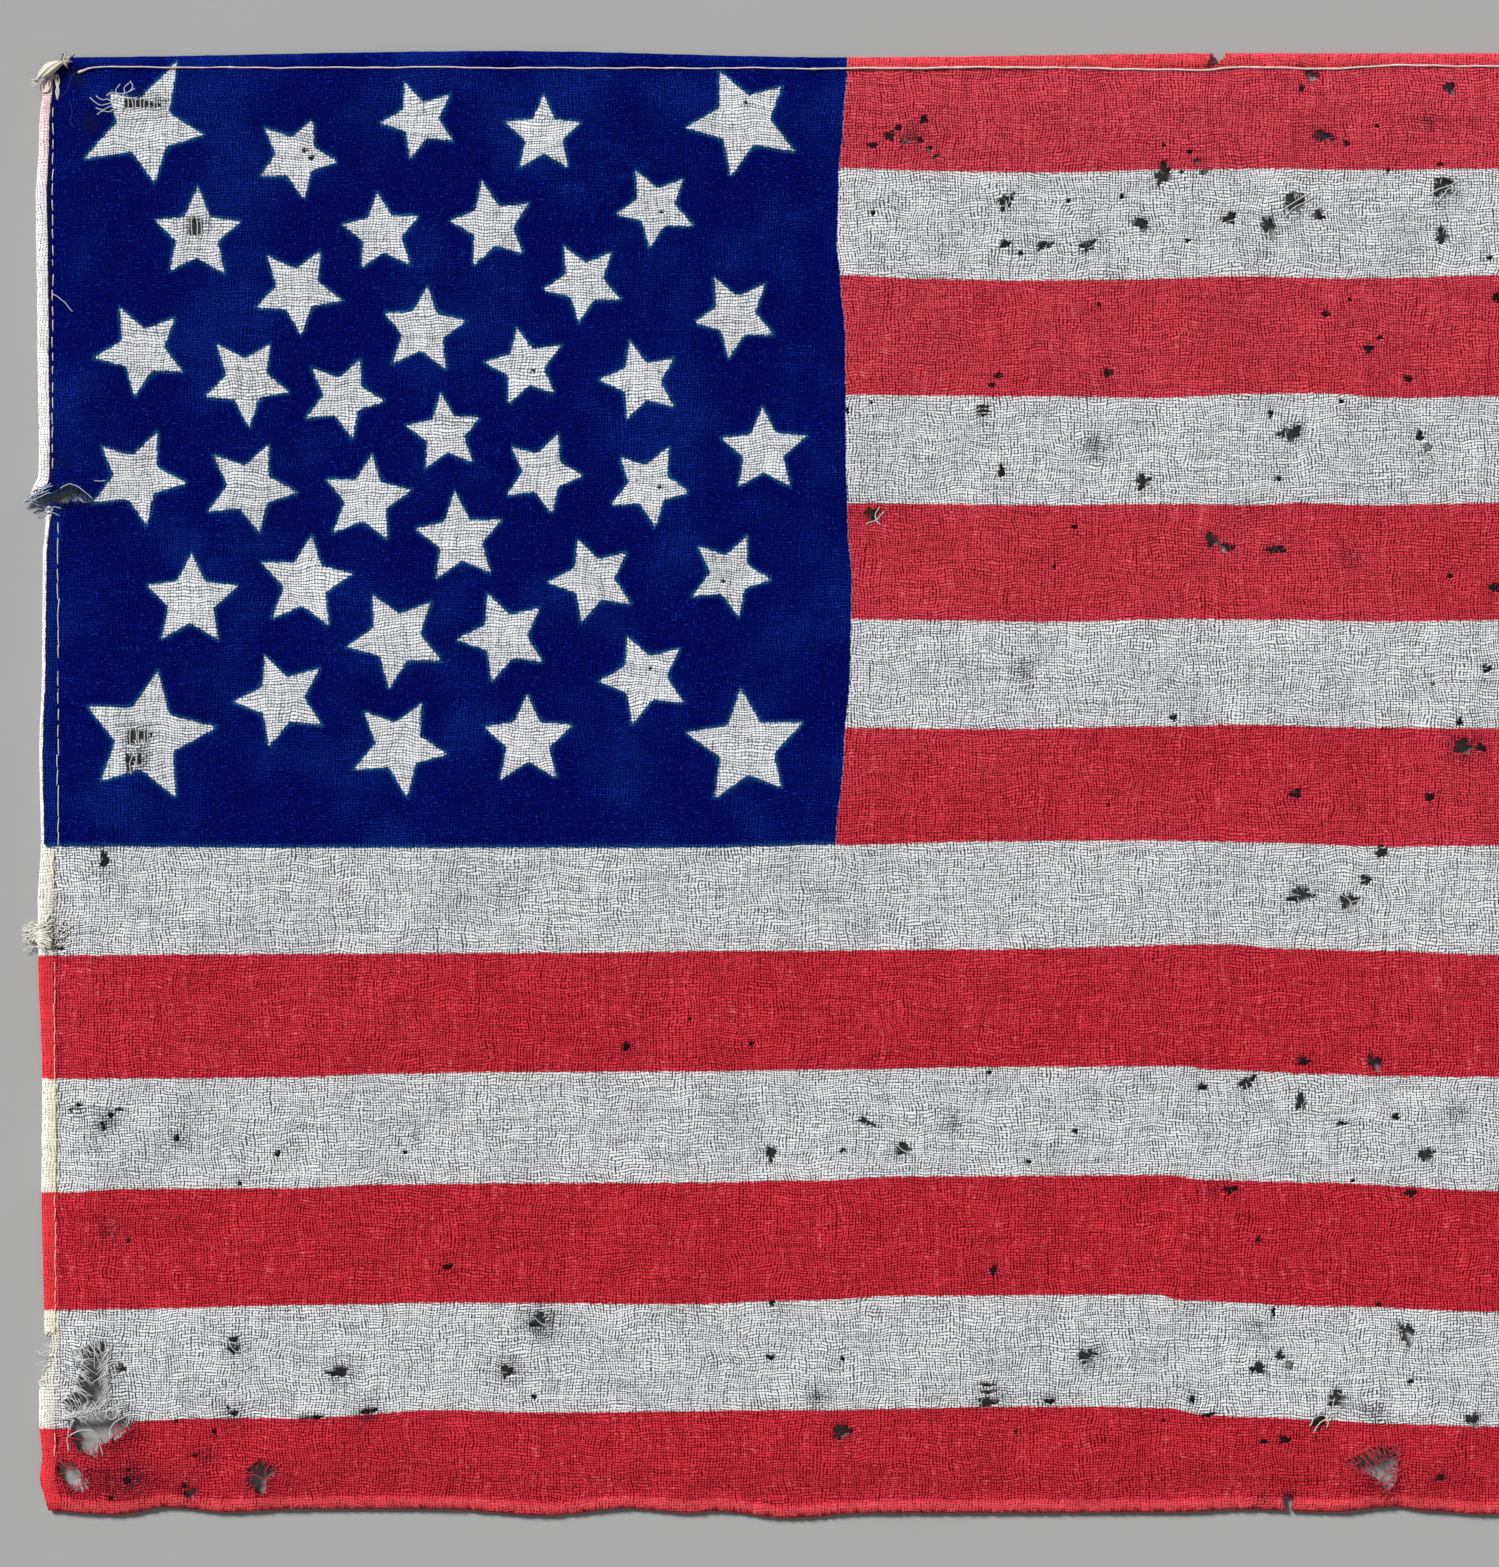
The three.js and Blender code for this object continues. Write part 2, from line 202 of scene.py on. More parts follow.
# Where weft has gone and the warp still stands: from, to, down, height of the gap.
LADDERS = [
    (26.4, 33.6, 14.8, 2.7), (34.6, 37.6, 15.2, 1.6), (46.7, 50.7, 53.6, 5.4), (27.4, 33.8, 214, 4.2),
]
LADDER_PITCH = 1.4

# How far from an opening the cloth is worn.
WEAR_REACH = 6
# Thin places: along, down, radius.
THIN_SPOTS = [
    (338, 68, 3), (436, 21, 3.2), (331.5, 122.5, 4), (308.5, 193, 4), (411.5, 157.5, 3.5),
    (287, 335.5, 3), (445, 332, 3.5), (383.5, 401, 4), (419.5, 427.5, 4.5), (244, 421.5, 3.5),
    (302.5, 422, 3), (317, 422.5, 2.5), (362, 422.5, 2.5), (20.5, 335, 4.5), (12, 331.5, 2.5),
    (43.5, 340.5, 3), (21, 369, 3.5), (60.5, 426.5, 4.5), (94, 414, 4), (102.5, 426.5, 4), (46, 453, 5),
    (5.5, 276.5, 4.5), (184, 311.5, 2.5), (21, 449, 7), (36, 15, 4.5), (30.5, 14, 4), (48.8, 53.5, 4.5),
    (30.5, 214, 5.5), (31, 221, 4), (157.2, 397.8, 6.5), (146.6, 413.5, 5.5), (60.7, 405, 4),
    (251.8, 432.6, 4), (297.7, 422.8, 5), (329, 409, 4.5), (16, 415, 9), (22, 431, 9), (394, 46, 4.5),
    (440.5, 42, 4.5), (420, 444, 7), (27, 20, 3), (118, 340, 2), (368, 356, 3), (384, 454, 3),
    (447, 217, 5), (15.5, 444.5, 3.5), (22.5, 452.5, 4.5), (6, 278, 4), (52, 440, 3), (274, 25, 4.5),
    (6.5, 127, 3), (28, 448, 8), (11, 6, 3.5), (15, 21, 4), (31, 11.5, 3),
]

# The lines between the thirteen stripes, as (along, down). The first six begin at the canton.
STRIPE_LINES = [
    [
        (251, 35.2), (286, 36.2), (317, 36.6), (355, 35.8), (388, 35.4), (413, 35.8), (459, 35.4),
        (560, 36), (FLY, 35.2),
    ],
    [
        (251, 68.6), (277, 69.8), (306, 70.4), (335, 70.2), (381, 69), (409, 69.8), (459, 68.6),
        (570, 69.6), (FLY, 69),
    ],
    [
        (252, 106.6), (320, 107), (352, 107.4), (381, 106.2), (402, 106), (424, 107.4), (459, 107),
        (FLY, 106.2),
    ],
    [
        (254, 140.4), (320, 141), (352, 140.6), (381, 141), (395, 140.2), (417, 141), (459, 140.2),
        (FLY, 141),
    ],
    [(255, 177.2), (320, 177.8), (355, 177), (388, 177.2), (424, 177.8), (459, 177.4), (FLY, 177)],
    [(254, 211), (298, 211.4), (352, 210.6), (377, 210), (417, 211), (459, 211.2), (FLY, 210.6)],
    [
        (5, 248.6), (81, 249), (207, 249), (250, 248), (301, 246.8), (352, 246.6), (388, 247.4),
        (424, 248.6), (459, 248.2), (560, 247.2), (FLY, 248),
    ],
    [
        (6, 282.6), (56, 282.2), (144, 281.8), (239, 281), (301, 280.6), (371, 279), (391, 280.4),
        (417, 281), (459, 282.4), (FLY, 281.4),
    ],
    [
        (6, 321.6), (77, 321.2), (107, 320), (144, 319.4), (201, 319.2), (251, 318.6), (301, 317.8),
        (361, 317.6), (366, 318.6), (402, 320), (424, 320.8), (459, 321), (FLY, 320),
    ],
    [
        (6, 357.2), (25, 356), (77, 355.8), (107, 354.6), (144, 354.2), (201, 354), (241, 353.4),
        (271, 352), (357, 351.6), (363, 353), (402, 354), (459, 356.6), (FLY, 355),
    ],
    [
        (1, 394.4), (21, 394), (87, 392.6), (125, 392), (204, 392.4), (241, 391.2), (271, 389.8),
        (352, 389.4), (357, 391.2), (402, 393), (459, 394.8), (FLY, 393),
    ],
    [
        (-1, 431.6), (6, 431.6), (30, 429), (49, 428.2), (81, 428.2), (125, 425.6), (159, 426.4),
        (238, 425.6), (301, 424.6), (333, 424.4), (354, 425), (367, 427.3), (384, 427.8), (402, 428.7),
        (419, 429.8), (459, 430.8), (FLY, 429),
    ],
]
# The canton's right edge, as (down, along), and how many stripes end at it.
CANTON_EDGE = [
    (2, 253.4), (23.5, 252), (35, 250.8), (59.5, 250.2), (69, 251.2), (88.5, 252.8), (126.5, 253),
    (148, 253.6), (164.5, 254.8), (191.5, 254.4), (218, 252.4), (248, 249.8),
]
CANTON_STRIPES = 7

# Stars: along, down, turn in degrees anticlockwise, reach of the tips.
STARS = [
    (80, 31.5, 47, 13.3), (119, 20, 22, 12.5), (158, 24.5, 0, 12.6), (193, 47.5, 28, 12.9),
    (218, 81.5, 28, 13.3), (227, 124, 1, 13.6), (216.5, 163, -24, 13.4), (189.5, 195.5, 22, 14.5),
    (153, 215, 1, 14.5), (112.5, 217, -27, 15.7), (75.5, 202, 21, 15.2), (47, 171, -1, 15.2),
    (30, 132.5, -24, 15.4), (31.5, 92.5, 27, 14.8), (49, 56, -1, 14.5),
    (107, 55.5, 6, 13), (141.5, 53, 12, 13.6), (170.5, 71, 29, 13.2), (188.5, 102, 16, 12.9),
    (191, 135, -27, 13.2), (173.5, 164.5, 21, 14.1), (145.5, 182.5, 21, 15), (111.5, 183, 28, 16),
    (83, 165.5, -7, 15.2), (65.5, 135.5, -24, 15.1), (64.5, 102, 39, 14.3), (80.5, 73.5, 41, 14.1),
    (120, 86, -6, 13.8), (152, 97.5, 12, 12.6), (157.5, 131, -22, 13.1), (131.5, 151.5, 6, 14.3),
    (102, 139, -8, 14.4), (95, 107, 48, 13.3), (127, 118.5, 7, 12.5),
]
# The stars in the canton's corners, with a reach for each tip, clockwise from the first.
CORNER_STARS = [
    (32.5, 22, -26, (22.6, 18.6, 18, 21.5, 15.5)), (220.5, 20.5, 24, (17.5, 16.4, 18.6, 17.7, 17.9)),
    (33, 214, -10, (21, 22.2, 21.1, 19.7, 20.9)), (221.5, 217, 5, (18.2, 19.3, 16.9, 19, 19.3)),
]
STAR_TIPS = 5
STAR_NOTCH = 0.47
# How far in and out of the stars their depth is told.
STAR_REACH = 5.0

# The sheet's face above the floor: beside the hems, and how much higher RISE_WIDTH further in.
FIELD_TOP = 1.6
FIELD_RISE, RISE_WIDTH = 1.1, 12
# Waves of the sheet, each with its height, length and seed: broad ones, fine ones, and those of the hems.
PUFFS = [(0.2, 62, 11), (0.09, 21, 12)]
CRINKLE = [(0.045, 8, 13)]
HEM_WAVES = [(0.07, 14, 14)]
# Where the cloth lifts round a tear, as torn edges curl: along, down, reach along, reach down, lift.
LIFTS = [
    (14, 419, 9, 15, 2.0), (10, 446, 7, 7, 1.5), (20, 433, 9, 7, 0.8), (69, 446, 8, 8, 1.6),
    (419, 444, 12, 9, 2.0), (441, 42, 7, 7, 1.2), (394, 46, 7, 7, 1.2), (7, 139, 10, 5, 1.3),
    (402, 427, 9, 8, 0.9),
]
# Soft upright folds left in the cloth: along, height. They are all as wide and sway as far to each side.
CREASES = [(208, 0.22), (254, 0.16), (343, 0.14), (120, 0.12), (440, 0.12)]
CREASE_WIDTH, CREASE_SWAY, SWAY_LENGTH = 3.2, 1.5, 60
# How far the solid stands out from the hoist line. The flap at the notch goes farther.
SOLID_REACH = 2
HEM_TOP, HEM_BOTTOM = 1.92, 0.03
THICKNESS = 0.55
# The height at which an outer fold's two faces meet, and how far in from there it is still round.
FOLD, FOLD_WIDTH = 0.95, 0.9

# How far apart the sheet's points lie on its outer edge, in the hems' rows, and in the fields of its face
# and back, and the least room that a field's point leaves the others.
EDGE_GAP, HEM_GAP = 2.6, 3.4
FACE_GAP, FACE_ROOM = 3.3, 1.7
BACK_GAP, BACK_ROOM = 6.5, 2.5
# The least distance inward from the edges of the points in rings and rows, and of those in the fields.
RING_ROOM, GRID_ROOM = 0.3, 1.2
# The size of the cells that tell which points are near.
CELL = 0.5
# Rings of points round each opening, as (how far out, spacing), and on both sides of each star's edge.
OPENING_RINGS = ((0.7, 1.0), (1.6, 1.7), (3.0, 2.6))
STAR_RINGS, STAR_SPACING = (-0.9, 0.9), 1.9
STAR_EDGE_SPACING = 1.7

solid_low, solid_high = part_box("flag_cloth")
HOIST_LINE = solid_low[0] / MM + SOLID_REACH
TOP_LINE = solid_high[1] / MM + min(down for _, down in TOP_EDGE)


def placed(along, down, height):
    """Points of the flag's plane in the frame, in metres: x is the hoist line plus along, and y the top
    line less down."""
    return np.stack([HOIST_LINE + along, TOP_LINE - down, height], axis=-1) * MM


def eased(points, at):
    """The value at each place of a line through (place, value) points. Between two of them it goes from
    one value to the next as 3t squared less 2t cubed."""
    places, values = np.array(points, float).T
    k = np.clip(np.searchsorted(places, at, side="right") - 1, 0, len(places) - 2)
    t = np.clip((at - places[k]) / (places[k + 1] - places[k]), 0, 1)
    return values[k] + (values[k + 1] - values[k]) * t * t * (3 - 2 * t)


def step(value, start, end):
    """0 before start and 1 after end, with 3t squared less 2t cubed between them."""
    t = np.clip((value - start) / (end - start), 0, 1)
    return t * t * (3 - 2 * t)


def ripple(along, down, length, seed, waves=12):
    """A gentle random surface of about unit size: the sum of sine waves that run in random directions,
    each about length long, with random starts, divided by the root of half their number."""
    rng = np.random.default_rng(seed)
    turn = rng.uniform(0, math.pi, waves)
    count = rng.uniform(0.75, 1.4, waves) * 2 * math.pi / length
    start = rng.uniform(0, 2 * math.pi, waves)
    phase = np.multiply.outer(along, np.cos(turn) * count) + np.multiply.outer(down, np.sin(turn) * count)
    return np.sin(phase + start).sum(-1) / math.sqrt(waves / 2)


def ripples(along, down, waves):
    """The sum of ripple surfaces, each with its height, length and seed."""
    return sum(height * ripple(along, down, length, seed) for height, length, seed in waves)


def from_edges(along, down):
    """Distance inward from the hoist, top, bottom and fly edges."""
    return (
        along - eased(HOIST_EDGE, down),
        down - eased(TOP_EDGE, along),
        eased(BOTTOM_EDGE, along) - down,
        eased(FLY_EDGE, down) - along,
    )


def from_nearest_edge(along, down):
    """Distance inward from the nearest of the four edges."""
    return np.min(from_edges(along, down), axis=0)


def sheet_heights(along, down):
    """Top and bottom height of the cloth. The field is a thin layer that rises from the hems and ripples.
    In a hem both faces part to the height of its folded layers, and the outer fold brings them together
    along a quarter circle."""
    hoist, top, bottom, fly = from_edges(along, down)
    strip = eased(HOIST_STRIP, down)
    past_hem = np.min((hoist - strip, top - TOP_HEM, bottom - BOTTOM_HEM, fly - FLY_HEM), axis=0)
    in_hem = 1 - step(past_hem, -0.35, 0.35)
    near_hem = 1 - step(past_hem, -0.5, 3.5)
    puff, crinkle = ripples(along, down, PUFFS), ripples(along, down, CRINKLE)
    rise = FIELD_RISE * step(past_hem, 0, RISE_WIDTH)
    for a, height in CREASES:
        away = (along - a - CREASE_SWAY * np.sin(down / SWAY_LENGTH)) / CREASE_WIDTH
        puff = puff + height * np.exp(-(away**2))
    lift = 0
    for a, d, wide, tall, height in LIFTS:
        lift = lift + height * np.exp(-(((along - a) / wide) ** 2) - ((down - d) / tall) ** 2)
    field = FIELD_TOP + rise + puff + crinkle + lift
    hem = HEM_TOP + ripples(along, down, HEM_WAVES) + 0.4 * crinkle + lift * 0.5
    face = field + (hem - field) * in_hem
    back = (field - THICKNESS) * (1 - near_hem) + HEM_BOTTOM * near_hem
    edge = np.clip(np.min((hoist, top, bottom, fly), axis=0) / FOLD_WIDTH, 0, 1)
    fold = 0.1 + 0.9 * np.sqrt(1 - (1 - edge) ** 2)
    return FOLD + (face - FOLD) * fold, FOLD + (back - FOLD) * fold


def face_height(along, down):
    """Height of the cloth's face."""
    return sheet_heights(along, down)[0]


def reach_along(line):
    """How far along a line of points each of them lies."""
    return np.concatenate([[0], np.cumsum(np.linalg.norm(np.diff(line, axis=0), axis=1))])


def resampled(points, spacing):
    """Points every spacing along the closed loop of straight lines through the given ones."""
    line = np.array([*points, points[0]], float)
    reach = reach_along(line)
    at = np.linspace(0, reach[-1], max(6, round(reach[-1] / spacing)), endpoint=False)
    return np.stack([np.interp(at, reach, line[:, i]) for i in range(2)], axis=1)


def unit(vectors):
    """The vectors at length one. A vector of no length stays so."""
    return vectors / (np.linalg.norm(vectors, axis=-1, keepdims=True) + 1e-9)


def outward(loop):
    """Unit vectors square to a closed loop, pointing out of it."""
    ahead = np.roll(loop, -1, axis=0) - np.roll(loop, 1, axis=0)
    square = unit(np.stack([ahead[:, 1], -ahead[:, 0]], axis=1))
    area = np.sum(loop[:, 0] * np.roll(loop[:, 1], -1) - np.roll(loop[:, 0], -1) * loop[:, 1])
    return square * np.sign(area)


def hole_loop(along, down, width, height, turn):
    """A moth hole: an ellipse whose radius swells three, five and seven times round, by a fifth and less.
    It has a point about every POINT_GAP along its edge."""
    count = max(12, int((width + height) * 1.6 / POINT_GAP))
    angle = np.arange(count) * 2 * math.pi / count
    reach = 1 + 0.20 * np.sin(3 * angle + along) + 0.17 * np.sin(5 * angle + down)
    reach += 0.14 * np.sin(7 * angle + along + down)
    a = width / 2 * reach * np.cos(angle)
    d = height / 2 * reach * np.sin(angle)
    c, s = math.cos(math.radians(turn)), math.sin(math.radians(turn))
    return np.stack([along + a * c + d * s, down - a * s + d * c], axis=1)


def ragged(loop, amount, rng):
    """The loop with each point moved in or out at random, as broken yarns leave it."""
    size = amount * rng.uniform(-1, 1, len(loop))
    return loop + outward(loop) * size[:, None]


def tear_loops():
    """Every opening in the sheet as a ragged closed loop. A small or narrow hole is less ragged."""
    rng = np.random.default_rng(21)
    loops = [ragged(resampled(points, 0.55), 0.28, rng) for points in TEARS.values()]
    for along, down, width, height, turn in HOLES:
        loop = hole_loop(along, down, width * HOLE_SPREAD, height * HOLE_SPREAD, turn)
        amount = min(0.25, 0.07 * (width + height), 0.2 * min(width, height))
        loops.append(ragged(loop, amount, rng))
    for start, end, down, height in LADDERS:
        upper, lower = down - height / 2, down + height / 2
        corners = [(start, upper), (end, upper + 0.3), (end + 0.4, lower - 0.2), (start - 0.2, lower)]
        loops.append(ragged(resampled(corners, 0.5), 0.22, rng))
    return loops


def star_loop(along, down, turn, reaches, rng):
    """A five-pointed star: tips at their reaches, clockwise from the first, and notches at about half the
    mean of them, by turns. The notches, and tips that share one reach, are a little uneven."""
    angle = math.radians(90 + turn) - np.arange(2 * STAR_TIPS) * math.pi / STAR_TIPS
    uneven = 1 + rng.uniform(-0.045, 0.045, 2 * STAR_TIPS)
    size = STAR_NOTCH * np.mean(reaches) * uneven
    size[::2] = reaches * (uneven[::2] if np.isscalar(reaches) else 1)
    return np.stack([along + size * np.cos(angle), down - size * np.sin(angle)], axis=1)


def star_loops():
    """All the stars, the wheels of small ones and the four at the canton's corners."""
    rng = np.random.default_rng(22)
    return [star_loop(*star, rng) for star in (*STARS, *CORNER_STARS)]


def inside(loop, points):
    """Which points lie in the loop: a level line from such a point crosses it an odd number of times."""
    ends = np.roll(loop, -1, axis=0)
    within = np.zeros(len(points), bool)
    box = np.all((points >= loop.min(0)) & (points <= loop.max(0)), axis=1)
    at = points[box]
    above = loop[:, 1] > at[:, 1:2]
    crosses = above != (ends[:, 1] > at[:, 1:2])
    rise = np.where(ends[:, 1] == loop[:, 1], 1, ends[:, 1] - loop[:, 1])
    side = loop[:, 0] + (at[:, 1:2] - loop[:, 1]) * (ends[:, 0] - loop[:, 0]) / rise
    within[box] = (crosses & (at[:, :1] < side)).sum(1) % 2 == 1
    return within


def distance(loop, points, reach):
    """Distance from each point to the loop, or reach where that is nearer than the loop."""
    far = np.full(len(points), float(reach))
    near = np.all((points > loop.min(0) - reach) & (points < loop.max(0) + reach), axis=1)
    start, ends = loop, np.roll(loop, -1, axis=0)
    ahead = ends - start
    offset = points[near][:, None] - start
    t = np.clip((offset * ahead).sum(-1) / np.maximum((ahead**2).sum(-1), 1e-9), 0, 1)
    far[near] = np.minimum(np.linalg.norm(offset - t[..., None] * ahead, axis=-1).min(1), reach)
    return far


def outline():
    """The sheet's outer loop, once round through the four edges: a point every EDGE_GAP, each shaken a
    little."""
    across, height = np.arange(0, FLY, EDGE_GAP), np.arange(0, HOIST, EDGE_GAP)
    sides = [
        np.stack([across, eased(TOP_EDGE, across)], 1),
        np.stack([eased(FLY_EDGE, height), height], 1)[1:],
        np.stack([FLY - across, eased(BOTTOM_EDGE, FLY - across)], 1),
        np.stack([eased(HOIST_EDGE, HOIST - height), HOIST - height], 1)[1:-1],
    ]
    loop = np.vstack(sides)
    rng = np.random.default_rng(23)
    return loop + rng.uniform(-0.12, 0.12, loop.shape)


def triangles_of(points, edges, solid):
    """Delaunay triangles through the points that keep the edges, of which only those with their middle
    in the cloth stay. Returns points, triangles and which edges have cloth on one side only."""
    places = [Vector(p) for p in points]
    made, _, faces, _, _, _ = delaunay_2d_cdt(places, edges, [], 0, 1e-5, False)
    made = np.array([tuple(p) for p in made])
    faces = np.array(faces)
    faces = faces[solid(made[faces].mean(1))]
    a, b, c = (made[faces[:, i]] for i in range(3))
    turn = (b - a)[:, 0] * (c - a)[:, 1] - (b - a)[:, 1] * (c - a)[:, 0]
    faces = faces[np.abs(turn) > 1e-7]
    turn = turn[np.abs(turn) > 1e-7]
    faces[turn < 0] = faces[turn < 0][:, ::-1]
    used, faces = np.unique(faces, return_inverse=True)
    faces = faces.reshape(-1, 3)
    made = made[used]
    sides = np.concatenate([faces[:, [0, 1]], faces[:, [1, 2]], faces[:, [2, 0]]])
    _, first, times = np.unique(np.sort(sides, axis=1), axis=0, return_index=True, return_counts=True)
    return made, faces, sides[first[times == 1]]


def base_points(spacing, taken, gap, seed):
    """A staggered grid over the cloth, each point shaken a quarter of the spacing, without those nearer
    than gap to a taken point. Which are near is read off a raster of cells that the taken points fill."""
    rng = np.random.default_rng(seed)
    row = spacing * math.sqrt(3) / 2
    a, d = np.meshgrid(np.arange(2, FLY - 2, spacing), np.arange(2, HOIST - 2, row))
    a = a + (np.arange(a.shape[0]) % 2)[:, None] * spacing / 2
    grid = np.stack([a.ravel(), d.ravel()], 1)
    grid += rng.uniform(-0.25, 0.25, grid.shape) * spacing
    # The cells' first row and column lie this many cells outside the sheet.
    margin = 24
    size = np.array([int(FLY / CELL), int((HOIST + 12) / CELL)]) + 2 * margin
    full = np.zeros(size, bool)
    at = np.clip((taken / CELL).astype(int) + margin, 0, size - 1)
    reach = int(gap / CELL)
    for i in range(-reach, reach + 1):
        for j in range(-reach, reach + 1):
            if i * i + j * j <= reach * reach:
                near = np.clip(at + (i, j), 0, size - 1)
                full[near[:, 0], near[:, 1]] = True
    at = (grid / CELL).astype(int) + margin
    return grid[~full[at[:, 0], at[:, 1]] & (from_nearest_edge(*grid.T) > GRID_ROOM)]


def hem_rows():
    """Rows of points beside the folds and at the hems' inner edges, so that both stay crisp."""
    rng = np.random.default_rng(24)
    rows = []
    across, height = np.arange(3, FLY - 3, HEM_GAP), np.arange(3, HOIST - 3, HEM_GAP)
    # From each edge, then from each hem's inner edge.
    insets = [(0, inset) for inset in (0.35, 0.95, 2.2)] + [(1, inset) for inset in (-0.4, 0.4, 1.6)]
    for hems, inset in insets:
        for edge, hem, sign in ((TOP_EDGE, TOP_HEM, 1), (BOTTOM_EDGE, BOTTOM_HEM, -1)):
            at = across + rng.uniform(-0.8, 0.8, len(across))
            rows.append(np.stack([at, eased(edge, at) + sign * (hems * hem + inset)], 1))
    for hems, inset in insets:
        at = height + rng.uniform(-0.8, 0.8, len(height))
        rows.append(np.stack([eased(HOIST_EDGE, at) + hems * eased(HOIST_STRIP, at) + inset, at], 1))
        rows.append(np.stack([eased(FLY_EDGE, at) - hems * FLY_HEM - inset, at], 1))
    return np.vstack(rows)


def stripe_at(along, down):
    """Which stripe a place is in: how many stripes lie above it, plus how far through its own it is."""
    lines = np.array([eased(line, along) for line in (TOP_EDGE, *STRIPE_LINES, BOTTOM_EDGE)])
    stripe = (lines[1:-1] <= down).sum(0)
    at = np.arange(len(along))
    upper, lower = lines[stripe, at], lines[stripe + 1, at]
    return stripe + np.clip((down - upper) / (lower - upper), 0, 1)


def star_depth(stars, along, down):
    """How deep a place lies in a star, in millimetres. It is negative outside them, and stops at
    STAR_REACH."""
    points = np.stack([along, down], 1)
    depth = np.full(len(points), -STAR_REACH)
    for star in stars:
        away = distance(star, points, STAR_REACH)
        depth = np.maximum(depth, np.where(inside(star, points), away, -away))
    return depth


def wear_at(loops, along, down):
    """How thin the cloth is, 0 to 1: bell-shaped spots, and a margin round each opening, deeper and wider
    round a large one, that fades as e to the minus distance over width."""
    points = np.stack([along, down], 1)
    thin = np.zeros(len(points))
    for a, d, radius in THIN_SPOTS:
        away = np.hypot(along - a, down - d) / radius
        thin = np.maximum(thin, (0.55 + 0.04 * max(radius - 4, 0)) * np.exp(-1.4 * away**2))
    for loop in loops:
        size = np.ptp(loop, axis=0).max()
        depth, width = min(0.45, 0.1 + 0.03 * size), 0.4 + 0.04 * size
        away = distance(loop, points, WEAR_REACH)
        thin = np.maximum(thin, depth * np.exp(-away / width) * (away < WEAR_REACH))
    return thin


def new_piece(name, points, faces, material):
    """A smooth mesh object at the origin that rides on the part's one body. faces is a list of arrays, one
    of triangles and one of quads."""
    mesh = bpy.data.meshes.new(name)
    corners = np.concatenate([group.ravel() for group in faces])
    sizes = np.concatenate([np.full(len(group), group.shape[1]) for group in faces])
    mesh.vertices.add(len(points))
    mesh.vertices.foreach_set("co", np.asarray(points, np.float32).ravel())
    mesh.loops.add(len(corners))
    mesh.loops.foreach_set("vertex_index", corners.astype(np.int32))
    mesh.polygons.add(len(sizes))
    mesh.polygons.foreach_set("loop_start", (np.cumsum(sizes) - sizes).astype(np.int32))
    mesh.polygons.foreach_set("loop_total", sizes.astype(np.int32))
    mesh.polygons.foreach_set("use_smooth", np.full(len(sizes), True))
    mesh.update(calc_edges=True)
    mesh.validate()
    mesh.materials.append(material)
    piece = bpy.data.objects.new(name, mesh)
    bpy.context.scene.collection.objects.link(piece)
    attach(piece, "root")
    return piece


def keep(piece, **values):
    """Stores numbers on the piece's points, for its material to read."""
    for name, numbers in values.items():
        layer = piece.data.attributes.new(name, "FLOAT", "POINT")
        layer.data.foreach_set("value", np.asarray(numbers, np.float32))


def face_points(outer, loops, stars):
    """The points of the sheet's face and the edges it has to keep. The outer loop, the openings and the
    stars give both. Rings round the openings and on both sides of a star's edge, the hems' rows and a grid
    between them all give points only."""
    fixed, edges, count = [], [], 0
    for loop in [outer, *loops, *(resampled(star, STAR_EDGE_SPACING) for star in stars)]:
        here = np.arange(len(loop)) + count
        edges.append(np.stack([here, np.roll(here, -1)], 1))
        fixed.append(loop)
        count += len(loop)
    rings = []
    for loop in loops:
        for away, spacing in OPENING_RINGS:
            ring = resampled(loop, spacing)
            rings.append(ring + outward(ring) * away)
    for star in stars:
        ring = resampled(star, STAR_SPACING)
        rings += [ring + outward(ring) * away for away in STAR_RINGS]
    extra = np.vstack([*rings, hem_rows()])
    extra = extra[from_nearest_edge(*extra.T) > RING_ROOM]
    taken = np.vstack([*fixed, extra])
    grid = base_points(FACE_GAP, taken, FACE_ROOM, 25)
    return np.vstack([taken, grid]), np.vstack(edges).tolist()


